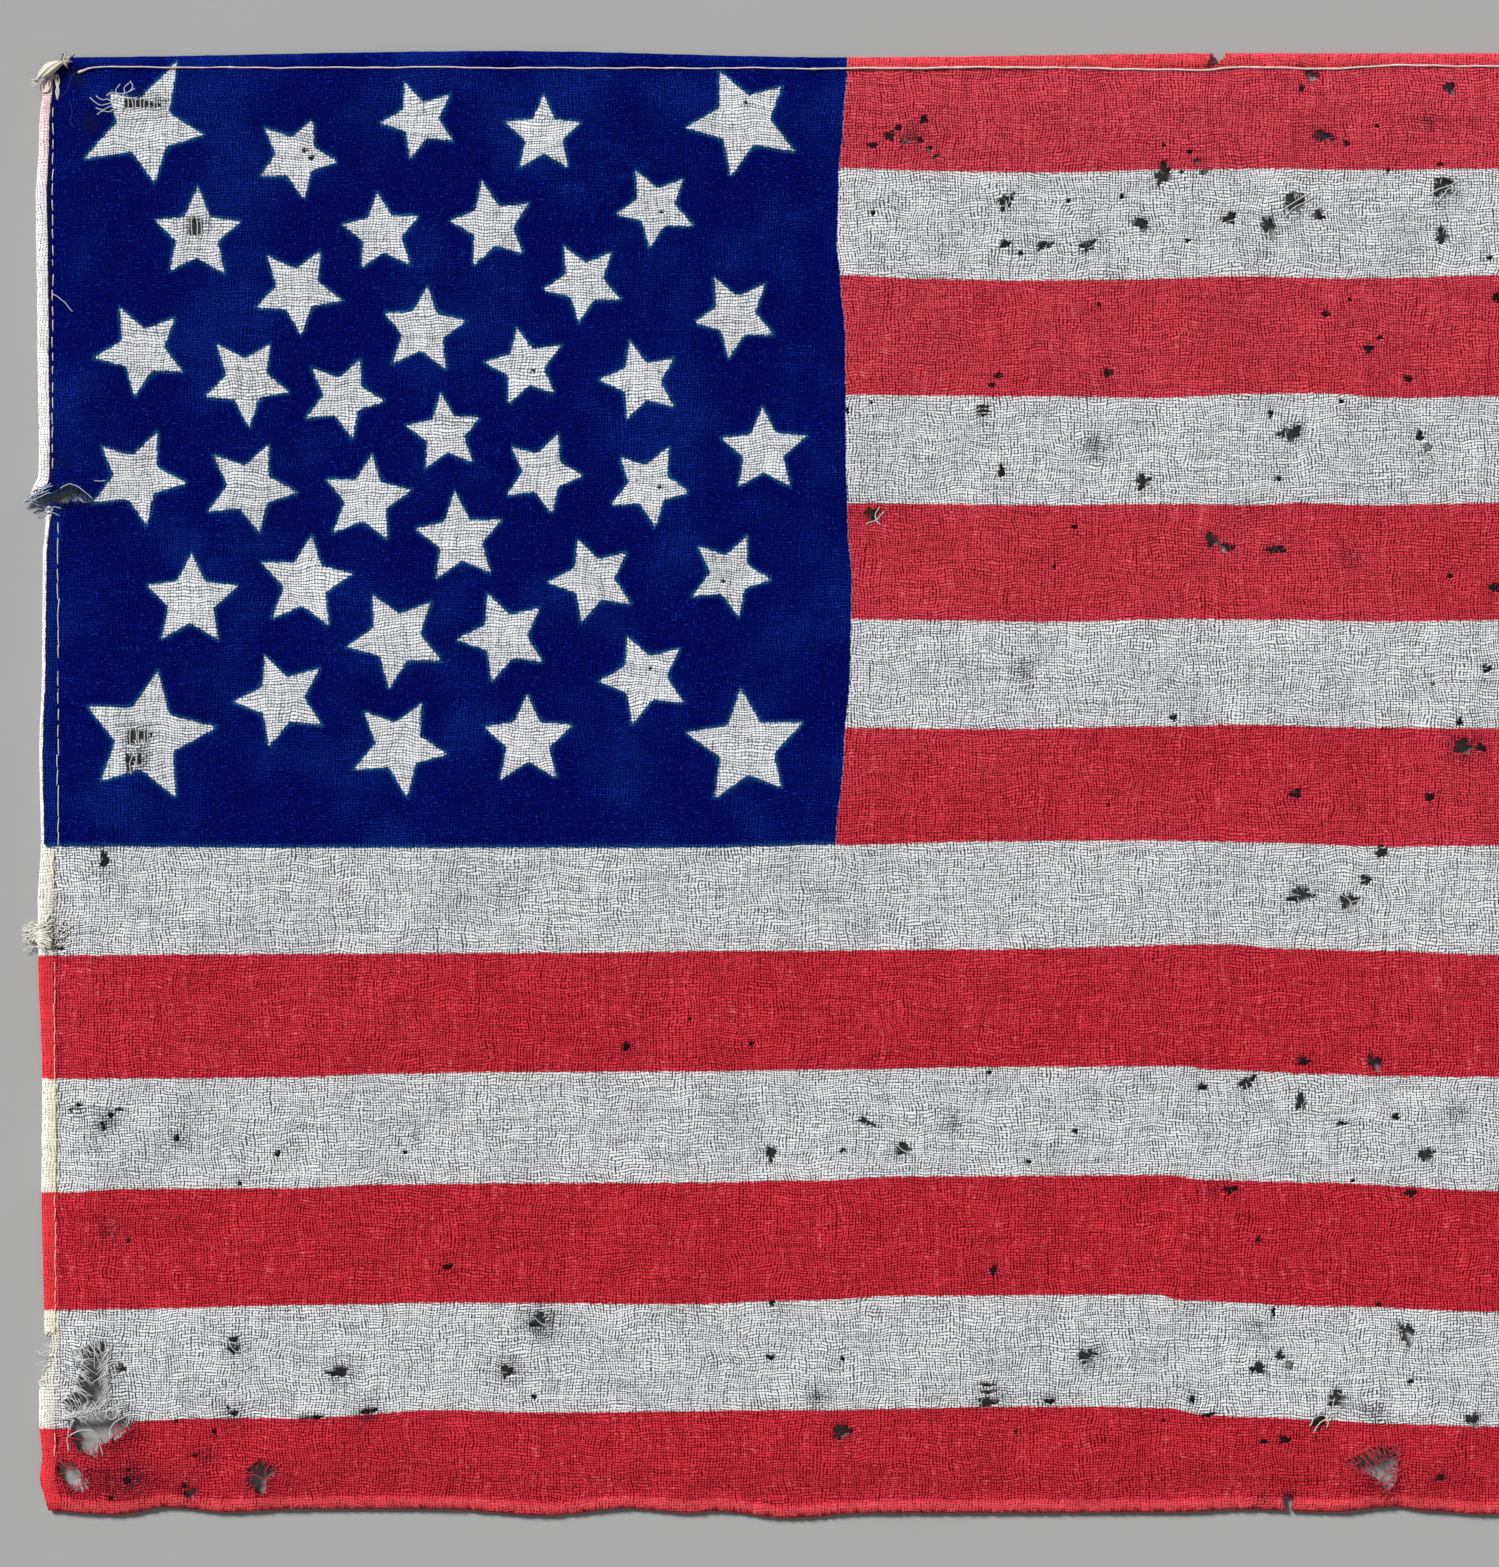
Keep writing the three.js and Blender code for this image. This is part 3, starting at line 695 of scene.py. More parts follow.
def make_cloth(loops, stars, material):
    """The sheet: one triangulation of the face, with every opening's edge in it, and a coarser one of the
    back through the same edges, joined by a rim."""
    outer = outline()

    def solid(middles):
        kept = inside(outer, middles)
        for loop in loops:
            kept &= ~inside(loop, middles)
        return kept

    points, faces, rim = triangles_of(*face_points(outer, loops, stars), solid)
    ends, rim_ends = np.unique(rim, return_inverse=True)
    rim_ends = rim_ends.reshape(-1, 2)
    back_grid = base_points(BACK_GAP, points[ends], BACK_ROOM, 26)
    back_rows = hem_rows()[::2]
    back_points, back_faces, back_rim = triangles_of(
        np.vstack([points[ends], back_rows, back_grid]), rim_ends.tolist(), solid
    )
    face, _ = sheet_heights(*points.T)
    _, back = sheet_heights(*back_points.T)
    along, down = np.vstack([points, back_points]).T
    height = np.concatenate([face, back])
    # The back's rim has the same ends as the face's, so both are put in one order by place.
    order = np.lexsort(points[rim[:, 0]].round(4).T)
    back_order = np.lexsort(back_points[back_rim[:, 0]].round(4).T)
    upper, lower = rim[order], back_rim[back_order] + len(points)
    walls = np.stack([lower[:, 1], lower[:, 0], upper[:, 0], upper[:, 1]], 1)
    # placed() turns down into up, and so turns the triangles over: the back's look at the floor, as they
    # should, and the face's are turned once more.
    triangles = np.vstack([faces[:, ::-1], back_faces + len(points)])
    points = placed(along, down, height)
    cloth = new_piece("flag_cloth_woven", points, [triangles, walls], material)
    hoist, top, bottom, fly = from_edges(along, down)
    keep(
        cloth,
        stripe=stripe_at(along, down),
        canton=along - eased(CANTON_EDGE, down),
        star=star_depth(stars, along, down),
        strip=eased(STRIP_SHOWN, down) - hoist,
        top_hem=TOP_HEM - top,
        bottom_hem=BOTTOM_HEM - bottom,
        fly_hem=FLY_HEM - fly,
        wear=wear_at(loops, along, down),
    )
    return cloth


class Value:
    """A number that a node gives. Sums with it add Math nodes, so a formula in a material reads as one."""

    def __init__(self, finish, socket):
        self.finish, self.socket = finish, socket

    def math(self, operation, *others):
        return self.finish.node("Math", {"operation": operation}, (self, *others))

    def __add__(self, other):
        return self.math("ADD", other)

    def __sub__(self, other):
        return self.math("SUBTRACT", other)

    def __mul__(self, other):
        return self.math("MULTIPLY", other)

    def __neg__(self):
        return self * -1

    def __rsub__(self, other):
        return self.finish.node("Math", {"operation": "SUBTRACT"}, (other, self))

    __radd__ = __add__
    __rmul__ = __mul__

    def above(self, other):
        return self.math("MAXIMUM", other)

    def below(self, other):
        return self.math("MINIMUM", other)

    def sine(self):
        return self.math("SINE")

    def size(self):
        return self.math("ABSOLUTE")

    def step(self, start, end):
        """0 before start and 1 after end, and smooth between them."""
        settings = {"interpolation_type": "SMOOTHSTEP"}
        return self.finish.node("MapRange", settings, {"Value": self, "From Min": start, "From Max": end})


class Finish:
    """One material and the calls that add nodes to it."""

    def __init__(self, name):
        self.material = bpy.data.materials.new(name)
        self.material.use_nodes = True
        self.tree = self.material.node_tree
        self.tree.nodes.clear()

    def node(self, kind, settings=None, sockets=(), out=None):
        """Adds a node. Its settings are set first, then its sockets, by name or in order, with values or
        links. Returns the output called out, or else the first."""
        made = self.tree.nodes.new("ShaderNode" + kind)
        for name, value in (settings or {}).items():
            setattr(made, name, value)
        named = sockets.items() if isinstance(sockets, dict) else enumerate(sockets)
        shown = [socket for socket in made.inputs if socket.enabled]
        for key, value in named:
            socket = shown[key] if isinstance(key, int) else next(s for s in shown if s.name == key)
            if isinstance(value, Value):
                self.tree.links.new(value.socket, socket)
            else:
                socket.default_value = value
        given = [socket for socket in made.outputs if socket.enabled]
        if not given:
            return None
        return Value(self, next((s for s in given if s.name == out), given[0]))

    def place(self):
        return self.node("TexCoord", out="Object")

    def stored(self, name):
        return self.node("Attribute", {"attribute_name": name}, out="Fac")

    def parts(self, vector):
        """The x, y and z of a vector."""
        split = self.node("SeparateXYZ", sockets=(vector,))
        return [Value(self, socket) for socket in split.socket.node.outputs]

    def vector(self, operation, *values):
        return self.node("VectorMath", {"operation": operation}, values)

    def scaled(self, vector, amount):
        """A vector or a colour times a number."""
        return self.vector("SCALE", vector, amount)

    def noise(self, place, scale, detail=2.0, rough=0.5, out=None):
        sockets = {"Vector": place, "Scale": scale, "Detail": detail, "Roughness": rough}
        return self.node("TexNoise", sockets=sockets, out=out)

    def wander(self, place, scale, size):
        """A random vector by noise, up to half the size each way."""
        way = self.vector("SUBTRACT", self.noise(place, scale, 1.0, out="Color"), (0.5, 0.5, 0.5))
        return self.scaled(way, size)

    def streak(self, place, scale):
        """Noise about zero that is drawn out: scale says how often it changes along x, y and z."""
        stretched = self.node("Mapping", sockets={"Vector": place, "Scale": scale})
        return self.noise(stretched, 1.0, 1.0) - 0.5

    def mix(self, factor, first, second):
        return self.node("Mix", {"data_type": "RGBA"}, {"Factor": factor, "A": first, "B": second})

    def finish(self, colour, roughness, height=None, depth=0.001, gloss=0.15):
        """Closes the material with one Principled shader, and a Bump node where there is a height."""
        sockets = {"Base Color": colour, "Roughness": roughness, "Specular IOR Level": gloss}
        if height is not None:
            bump = {"Strength": 1.0, "Distance": depth, "Height": height}
            sockets["Normal"] = self.node("Bump", sockets=bump)
        shader = self.node("BsdfPrincipled", sockets=sockets)
        self.node("OutputMaterial", sockets={"Surface": shader})
        return self.material


# Colours of the dyes and yarns, linear: the light tops of the yarns, and the shade between them.
WHITE, WHITE_GAP = (0.88, 0.88, 0.885, 1), (0.06, 0.06, 0.065, 1)
DULL_WHITE = (0.70, 0.71, 0.74, 1)
STAR_WHITE, STAR_GAP = (0.93, 0.94, 0.95, 1), (0.07, 0.09, 0.12, 1)
RED, RED_GAP = (0.69, 0.034, 0.057, 1), (0.14, 0.001, 0.004, 1)
FADED_RED, FADED_GAP = (0.75, 0.068, 0.104, 1), (0.15, 0.003, 0.008, 1)
HEM_RED = (0.82, 0.070, 0.078, 1)
PALE_HEM = (0.80, 0.085, 0.095, 1)
PINK_FLECK = (0.80, 0.26, 0.28, 1)
BLUE, BLUE_GAP = (0.0008, 0.0032, 0.120, 1), (0.0001, 0.0007, 0.056, 1)
LIGHT_BLUE = (0.007, 0.034, 0.29, 1)
HALO = (0.02, 0.13, 0.30, 1)
CREAM, CREAM_GAP = (0.90, 0.87, 0.76, 1), (0.42, 0.39, 0.31, 1)
STRIP_WHITE, STRIP_PINK = (0.88, 0.86, 0.87, 1), (0.86, 0.42, 0.46, 1)
YELLOWED = (0.84, 0.72, 0.46, 1)
STRIP_RED, STRIP_RED_GAP = (0.78, 0.046, 0.058, 1), (0.32, 0.008, 0.012, 1)
DEEP_SHADE = (0.012, 0.012, 0.018, 1)
FLOOR_GREY, FLOOR_LIGHT = (0.39, 0.39, 0.385, 1), (0.415, 0.415, 0.41, 1)
# Yarns and threads on the cloth.
UNDYED_YARN, UNDYED_DEEP = (0.74, 0.74, 0.71, 1), (0.40, 0.41, 0.42, 1)
RED_YARN, RED_DEEP = (0.60, 0.06, 0.08, 1), (0.26, 0.012, 0.02, 1)
BLUE_YARN, BLUE_DEEP = (0.02, 0.045, 0.22, 1), (0.004, 0.008, 0.07, 1)
HEM_THREAD_PALE, HEM_THREAD_DEEP = (0.92, 0.82, 0.80, 1), (0.62, 0.46, 0.46, 1)
STITCH_WHITE, STITCH_GREY = (0.82, 0.82, 0.80, 1), (0.5, 0.5, 0.52, 1)
STITCH_TAN, STITCH_BROWN = (0.80, 0.62, 0.36, 1), (0.58, 0.40, 0.20, 1)
STITCH_STRAW, STITCH_RUST = (0.95, 0.62, 0.42, 1), (0.80, 0.40, 0.26, 1)
TAPE, TAPE_DEEP = (0.93, 0.90, 0.77, 1), (0.50, 0.46, 0.33, 1)
WISP, WISP_DEEP = (0.92, 0.89, 0.80, 1), (0.55, 0.52, 0.46, 1)
PALE_FIBRE, PALE_FIBRE_DEEP = (0.62, 0.68, 0.76, 1), (0.3, 0.36, 0.5, 1)
# How far the edges of the stripes waver, in stripes.
STRIPE_BLUR = 0.03

# How far apart the yarns of the warp, which stand upright, and of the weft lie.
WARP_PITCH = 0.94
WEFT_PITCH = 0.88


def weave(finish, place, weft_only):
    """Plain weave. The yarns run where half a sine wave across them is high, and wander by noise of about 3
    mm and of about 14 mm. The dark gap beside each crossing is painted shade between the yarns; it lies
    level or upright by turns, as fine noise has it, mostly level where weft_only is 1, and is darkest
    between four yarns. Crossings are a touch lighter and darker by turns, as painted light and shade on the
    yarns. Returns how light each place is, 0 in the painted shade of the gaps to 1, and the wandered place."""
    moved = finish.vector("ADD", place, finish.wander(place, 330, 0.9 * MM))
    moved = finish.vector("ADD", moved, finish.wander(place, 70, 4.5 * MM))
    x, y, _ = finish.parts(moved)
    warp = (x * (math.pi / (WARP_PITCH * MM))).sine()
    weft = (y * (math.pi / (WEFT_PITCH * MM))).sine()
    level = finish.noise(moved, 820, 1.0).step(0.40, 0.60).above(weft_only * 0.5)
    upright_gap = (1 - warp.size()).step(0.15, 0.7) * (1 - level * 0.75) * (1.15 - weft.size() * 0.5)
    level_gap = (1 - weft.size()).step(0.15, 0.7) * (0.25 + level * 0.75) * (1.15 - warp.size() * 0.5)
    light = 1 - upright_gap.above(level_gap)
    return light + warp * weft * 0.10, moved


def print_places(stripe, canton, uneven):
    """Where the red and the canton are printed, 0 to 1. Red is where the whole part of the stripe number is
    even, as the sine wave of the number is positive there. The number is kept off the outer two edges, where
    the wave is nought."""
    stripes = len(STRIPE_LINES) + 1
    band = (stripe + uneven * STRIPE_BLUR).above(STRIPE_BLUR).below(stripes - STRIPE_BLUR)
    red = (band * math.pi).sine().step(-STRIPE_BLUR, STRIPE_BLUR)
    hoistward = (-(canton + uneven * 0.9)).step(-0.25, 0.25)
    in_canton = hoistward * (CANTON_STRIPES - stripe + uneven * STRIPE_BLUR).step(-0.008, 0.008)
    return red * (1 - hoistward * (CANTON_STRIPES + 0.5 - stripe).step(-0.1, 0.1)), in_canton


def red_wool(finish, faded, fleck, top_hem, bottom_hem):
    """Red yarns and the gaps between them: faded in places, brighter at the two hems, with pink flecks."""
    top = finish.mix(faded, RED, FADED_RED)
    top = finish.mix((top_hem + 1.5).step(-1.0, 1.5) * 0.75, top, HEM_RED)
    top = finish.mix(bottom_hem.step(-0.6, 1.5) * 0.7, top, PALE_HEM)
    top = finish.mix(fleck.step(0.12, 0.4) * 0.4, top, PINK_FLECK)
    return top, finish.mix(faded, RED_GAP, FADED_GAP)


def blue_wool(finish, place, height, stripe, strip, halo):
    """Blue yarns: specked lighter with painted highlights on their fuzz, and clouded lighter, lighter too
    beside the strip below the notch, and washed out round the stars and along the canton's lower edge."""
    # Fine specks of painted highlight on the wool's fuzz, and broad lighter clouds.
    fuzz_highlight = finish.noise(place, 1150, 1.0).step(0.56, 0.72)
    cloud = finish.noise(place, 30, 3.0, 0.55)
    fleck = fuzz_highlight * 0.65 + (cloud - 0.44).step(0.0, 0.22) * 0.35
    fleck = fleck.above((strip + 4.2).step(-0.4, 0.4) * 0.5 * (NOTCH_LEVEL * MM - height).step(0.0, 0.004))
    halo = halo.above((stripe - CANTON_STRIPES + 0.05).step(0.0, 0.035) * 0.7)
    return finish.mix(halo * 0.7, finish.mix(fleck, BLUE, LIGHT_BLUE), HALO)


def strip_wool(finish, height, patch, red, beside_canton):
    """The strip turned over at the hoist, and the gaps between its yarns: undyed wool beside the canton,
    pink at its top, and cream and clear red below."""
    pink = (height - PINK_FROM * MM).step(0.0, 0.045) * (patch + 0.15)
    beside = finish.mix(pink, STRIP_WHITE, STRIP_PINK)
    undyed = finish.mix((patch - 0.52).step(0.0, 0.2) * 0.55, CREAM, YELLOWED)
    undyed = finish.mix(beside_canton, undyed, beside)
    return finish.mix(red, undyed, STRIP_RED), finish.mix(red, CREAM_GAP, STRIP_RED_GAP)


def flag_finish():
    """Printed wool bunting: stars, canton and stripes by the sheet's stored numbers, each edge a little
    uneven, on a plain weave whose gaps are painted in dark shade, faded and streaked in places, and more
    open, with deeper painted shade, where thin."""
    finish = Finish("printed_bunting")
    place = finish.place()
    _, height, _ = finish.parts(place)
    stripe, canton, star = finish.stored("stripe"), finish.stored("canton"), finish.stored("star")
    strip, wear = finish.stored("strip"), finish.stored("wear")
    top_hem, bottom_hem, fly_hem = (finish.stored(name) for name in ("top_hem", "bottom_hem", "fly_hem"))

    # Where each dye and each fold lies.
    uneven = finish.noise(place, 700, 1.0) - 0.5
    red, in_canton = print_places(stripe, canton, uneven)
    depth = star + uneven * 0.9
    in_star = depth.step(-0.2, 0.25)
    halo = (depth + 1.1).step(-0.3, 0.9) * (1 - in_star)
    in_strip = (strip + uneven * 0.5).step(-0.12, 0.2)
    in_hem = in_strip
    for hem in (top_hem, bottom_hem, fly_hem):
        in_hem = in_hem.above(hem.step(-0.2, 0.3))
    beside_canton = (CANTON_STRIPES - stripe).step(-0.02, 0.02)

    # How light the weave is, against the painted shade of its gaps: less where it is worn open, more in a
    # hem, and a little by chance everywhere.
    weave_light, moved = weave(finish, place, in_star)
    crumb = finish.noise(moved, 820, 1.0) - 0.5
    broad = finish.noise(place, 14, 3.0)
    patch = finish.noise(place, 45, 3.0, 0.6)
    weft_streak = finish.streak(moved, (60, 760, 1))
    warp_streak = finish.streak(moved, (680, 75, 1))
    # How much painted shade the worn, thin cloth takes, from how thin it is.
    worn_shade = wear + wear.step(0.03, 0.3) * (patch - 0.5) * 0.6
    light = weave_light + weft_streak * 0.6 + warp_streak * 0.5 + crumb * 0.9 + in_hem * 0.3 - worn_shade * 0.6
    light = light.step(0.0, 1.02)

    # Each dye's colour on the yarns, and the painted shade in the gaps between them. Red is more faded
    # farther up.
    faded = ((height * 2.6 + 0.35) + (broad - 0.5) * 0.9).step(0.0, 1.0)
    red_top, red_gap = red_wool(finish, faded, crumb + warp_streak * 0.7, top_hem, bottom_hem)
    blue_top = blue_wool(finish, place, height, stripe, strip, halo)
    white_top = finish.mix((patch - 0.40).step(0.0, 0.4) * 0.5, WHITE, DULL_WHITE)
    top = finish.mix(red, white_top, red_top)
    gap = finish.mix(red, WHITE_GAP, red_gap)
    top = finish.mix(in_canton, top, finish.mix(in_star, blue_top, STAR_WHITE))
    gap = finish.mix(in_canton, gap, finish.mix(in_star, BLUE_GAP, STAR_GAP))
    strip_top, strip_gap = strip_wool(finish, height, patch, red, beside_canton)
    top = finish.mix(in_strip, top, strip_top)
    gap = finish.mix(in_strip, gap, strip_gap)
    # Where the cloth is worn thin, its gaps are painted in deep shade.
    gap = finish.mix((worn_shade * 1.3).below(1.0), gap, DEEP_SHADE)
    colour = finish.mix(light, gap, top)

    # A painted shadow, as in a groove, beside the strip, as far down as the canton goes.
    groove_shadow = (strip + 0.75).step(-0.35, 0.2) * (1 - (strip + 0.1).step(-0.2, 0.2)) * beside_canton
    colour = finish.mix(groove_shadow * 0.7, colour, DEEP_SHADE)
    # A little lighter and darker by broad chance, and darker where worn thin, as painted shade.
    colour = finish.scaled(colour, (0.93 + broad * 0.14) * (1 - worn_shade * 0.15))
    return finish.finish(colour, 0.86 + light * 0.1, light, 0.3 * MM, gloss=0.02)


def yarn_finish(name, colour, deep):
    """Spun yarn: fine fibres on it, lighter and darker by turns."""
    finish = Finish(name)
    place = finish.place()
    fibre = finish.noise(place, 2600, 2.0, 0.6)
    slow = finish.noise(place, 260, 2.0)
    tone = finish.mix(fibre.step(0.3, 0.7) * 0.6 + slow * 0.4, deep, colour)
    return finish.finish(tone, 0.85 + fibre * 0.12, fibre, 0.08 * MM)


def floor_finish():
    """A plain pale floor with the least mottle."""
    finish = Finish("pale_floor")
    mottle = finish.noise(finish.place(), 9, 3.0)
    return finish.finish(finish.mix(mottle, FLOOR_GREY, FLOOR_LIGHT), 0.9 + mottle * 0.05)


def route(points, steps):
    """A smooth path of evenly spaced steps through the points: a Catmull-Rom curve, in which each point is
    passed in the direction from the one before to the one after."""
    line = np.array(points, float)
    padded = np.vstack([2 * line[0] - line[1], line, 2 * line[-1] - line[-2]])
    t = np.linspace(0, 1, 9)[:-1, None]
    a, b, c, d = (padded[i : i + len(line) - 1, None] for i in range(4))
    curve = 2 * b + (c - a) * t + (2 * a - 5 * b + 4 * c - d) * t**2 + (3 * b - a - 3 * c + d) * t**3
    dense = np.vstack([0.5 * curve.reshape(-1, line.shape[1]), line[-1:]])
    reach = reach_along(dense)
    at = np.linspace(0, reach[-1], steps)
    return np.stack([np.interp(at, reach, dense[:, i]) for i in range(line.shape[1])], axis=1)


def skinned(rings, tips):
    """Points and faces of closed tubes: quads between one ring and the next, and triangles that close each
    end ring to its tip. rings is an array of tube, ring, point and place, and tips one of tube, end and
    place."""
    count, steps, sides, _ = rings.shape
    points = np.concatenate([rings.reshape(count, -1, 3), tips], axis=1)
    ring, side = np.meshgrid(np.arange(steps - 1) * sides, np.arange(sides), indexing="ij")
    after = (side + 1) % sides
    quads = np.stack([ring + side, ring + sides + side, ring + sides + after, ring + after], -1)
    quads = quads.reshape(-1, 4)
    side, after = side[0], after[0]
    tip, last = np.full(sides, steps * sides), (steps - 1) * sides
    caps = np.vstack([np.stack([tip, side, after], 1), np.stack([tip + 1, last + after, last + side], 1)])
    start = (np.arange(count) * points.shape[1])[:, None, None]
    return points.reshape(-1, 3), [(faces + start).reshape(-1, faces.shape[1]) for faces in (caps, quads)]


def tubes(paths, radius, sides):
    """Round yarns along paths, an array of yarn, step and place in millimetres: a ring of points square to
    the path at each step, and a point that closes each end, a radius further on."""
    radius = np.broadcast_to(radius, paths.shape[:2])
    ahead = unit(np.gradient(paths, axis=1))
    across = unit(np.cross(ahead, (0.0, 0.05, 1.0)))
    square = np.cross(across, ahead)
    angle = (np.arange(sides) * 2 * math.pi / sides)[:, None]
    ring = across[:, :, None] * np.cos(angle) + square[:, :, None] * np.sin(angle)
    rings = paths[:, :, None] + ring * radius[:, :, None, None]
    first, last = paths[:, 0] - ahead[:, 0] * radius[:, :1], paths[:, -1] + ahead[:, -1] * radius[:, -1:]
    return skinned(rings, np.stack([first, last], 1))


def make_yarns(name, groups, material):
    """One piece from several groups of yarns, each (paths, radius, sides). Paths are along, down and height.
    Down is turned into up before the tubes are made, so that their faces look outward in the frame. Empty
    groups are left out."""
    points, triangles, quads, count = [], [], [], 0
    for paths, radius, sides in groups:
        if len(paths) == 0:
            continue
        made, (caps, walls) = tubes(paths * (1, -1, 1), radius, sides)
        points.append(made)
        triangles.append(caps + count)
        quads.append(walls + count)
        count += len(made)
    along, up, height = np.vstack(points).T
    faces = [np.vstack(triangles), np.vstack(quads)]
    return new_piece(name, placed(along, -up, height), faces, material)


def on_cloth(path, lift):
    """The path with heights that follow the cloth's face, lift above it."""
    flat = path[:, :2]
    return np.column_stack([flat, face_height(*flat.T) + lift])


def dye_at(stars, along, down):
    """The dye at each place."""
    stripe = stripe_at(along, down)
    dye = np.where(np.floor(stripe) % 2 == 0, DYED_RED, UNDYED)
    in_canton = (along < eased(CANTON_EDGE, down)) & (stripe < CANTON_STRIPES)
    return np.where(in_canton, np.where(star_depth(stars, along, down) > 0, UNDYED, DYED_BLUE), dye)


def frayed_ends(loops, stars, rng):
    """Short broken yarns that stand into each opening from its edge, level or upright as woven, and bend in
    proportion to t squared. Returns the paths of each dye."""
    paths = {dye: [] for dye in (UNDYED, DYED_RED, DYED_BLUE)}
    for loop in loops:
        width = np.ptp(loop, axis=0).min()
        around = np.linalg.norm(np.roll(loop, -1, axis=0) - loop, axis=1).sum()
        count = int(around / (DENSE_FRAY if width > WIDE_OPENING else SPARSE_FRAY))
        pick = rng.integers(0, len(loop), count)
        inward = -outward(loop)[pick]
        level = np.abs(inward[:, 0]) > np.abs(inward[:, 1])
        way = np.where(level[:, None], np.sign(inward) * (1, 0), np.sign(inward) * (0, 1))
        way = way + rng.normal(0, 0.22, way.shape)
        length = rng.uniform(0.25, 1.0, count) * min(3.2, 0.36 * width)
        start = loop[pick] - way * 0.5
        bend = rng.normal(0, 0.25, (count, 2)) * length[:, None]
        t = np.linspace(0, 1, 4)[None, :, None]
        flat = start[:, None] + way[:, None] * (0.5 + length[:, None, None]) * t + bend[:, None] * t**2
        drop = rng.uniform(0.0, 0.9, count)[:, None] * t[0, :, 0] ** 2
        height = face_height(*start.T)[:, None] - 0.12 - drop
        whole = np.concatenate([flat, height[..., None]], axis=2)
        kept = from_nearest_edge(*start.T) > 0.4
        dyes = dye_at(stars, *start.T)
        for dye, found in paths.items():
            found.append(whole[(dyes == dye) & kept])
    return {dye: np.concatenate(found) for dye, found in paths.items()}


# Yarns that still cross the tears, as (along, down) points.
WHITE_STRANDS = [
    [(4.6, 409.6), (9, 411), (12.5, 413.9)],
    [(4.8, 411.8), (8.6, 413.6), (11.6, 416.7)],
    [(5, 414.2), (8.6, 416), (11.6, 419.5)],
    [(4.4, 417), (7.2, 418.4), (9.4, 421.2)],
    [(4, 418.4), (6.4, 419.6), (8.3, 422)],
    [(8.4, 405.4), (11.4, 407.6), (13.6, 411)],
    [(11, 402.6), (13.8, 405), (16.1, 408.2)],
    [(25.8, 406.4), (23, 409.4), (20.6, 413.9)],
    [(25.2, 403.6), (22.4, 405), (20.9, 407.7)],
    [(26.4, 416.2), (23, 416.2), (20.9, 417.2), (21.2, 419.4), (22.9, 421.2)],
    [(5.6, 428.8), (8, 428.2), (12.8, 426.8), (17.8, 426.8), (21.2, 425.1), (25.1, 424), (27.6, 423.6)],
    [(6.2, 427.4), (9.4, 427.6), (13.4, 427.6), (17, 426), (20.6, 425.9), (24.6, 424.8), (27, 424.6)],
    [(9, 427), (13, 426), (18, 426.2), (22.6, 424.6), (26, 423)],
    [(20.4, 425.8), (21.4, 428.2), (23.4, 428), (23.6, 425.6), (21.8, 425), (20.6, 426.4)],
    [(10.4, 428.4), (9.9, 429.6), (8.4, 432.4), (8, 435.2), (8.5, 438.6)],
    [(8.6, 434), (9.9, 433), (13.9, 431.6), (17.2, 432.4), (17.8, 434.4), (18.7, 436.9), (19.5, 440.2)],
    [(26.6, 427.6), (24, 428.8), (22, 431), (21.6, 434.6)],
    [(12, 421.8), (13.6, 424.4), (16.4, 426), (19.4, 429.2)],
    [(398.6, 430.4), (400.2, 428), (402.6, 427), (404.4, 428.4), (404, 431)],
    [(400, 432.6), (401.4, 430), (403.6, 428.4), (405.6, 426.4)],
    [(389.6, 48.8), (392.8, 46.6), (395.4, 45), (398.6, 43.2)],
    [(391, 50.6), (393.8, 47.6), (397.2, 46), (399.4, 44.6)],
    [(436, 43.8), (439.2, 41.8), (442, 41), (445, 39.6)],
    [(438.6, 46.2), (440.8, 43.6), (442.4, 41.6), (445.8, 42.4)],
    [(263.4, 141.8), (262, 144.6), (263.8, 147.4)],
    [(265, 143.2), (262.6, 145.6), (259.4, 147)],
    [(408.4, 263.6), (411.2, 265.4), (413, 268.8)],
    [(269, 342.4), (271.6, 344.4), (274.6, 344.8)],
    [(155, 396.4), (157.4, 398.6), (159.6, 399)],
    [(59.2, 405), (61.2, 407.2), (63.4, 407)],
    [(15.4, 13), (17.4, 14.8), (19.6, 15.2), (22.6, 14.4), (25.8, 15.2)],
    [(17.2, 16.2), (19.4, 16.8), (22, 15.6), (26.4, 16.2)],
    [(20.6, 12.4), (22, 11.2), (25.6, 11.6), (29.4, 10.2)],
    [(22.2, 13.6), (25, 12.8), (28.4, 13.2)],
    [(24.2, 12.6), (23.4, 10.4), (24.6, 8.6)],
    [(26.2, 11.8), (26, 9.6), (27.6, 8.2)],
    [(28, 11), (28.6, 9.2), (27.8, 7.6)],
    [(22.6, 14.6), (20.8, 13.4), (19, 13.6), (17.2, 12.4)],
    [(23.4, 16.4), (21.2, 17.4), (19.4, 17), (17.6, 18.2)],
    [(28, 216.4), (28.6, 219.6), (27.8, 222.4), (28.4, 225.8)],
    [(29.8, 217.2), (30, 220.4), (29.4, 224.2)],
]
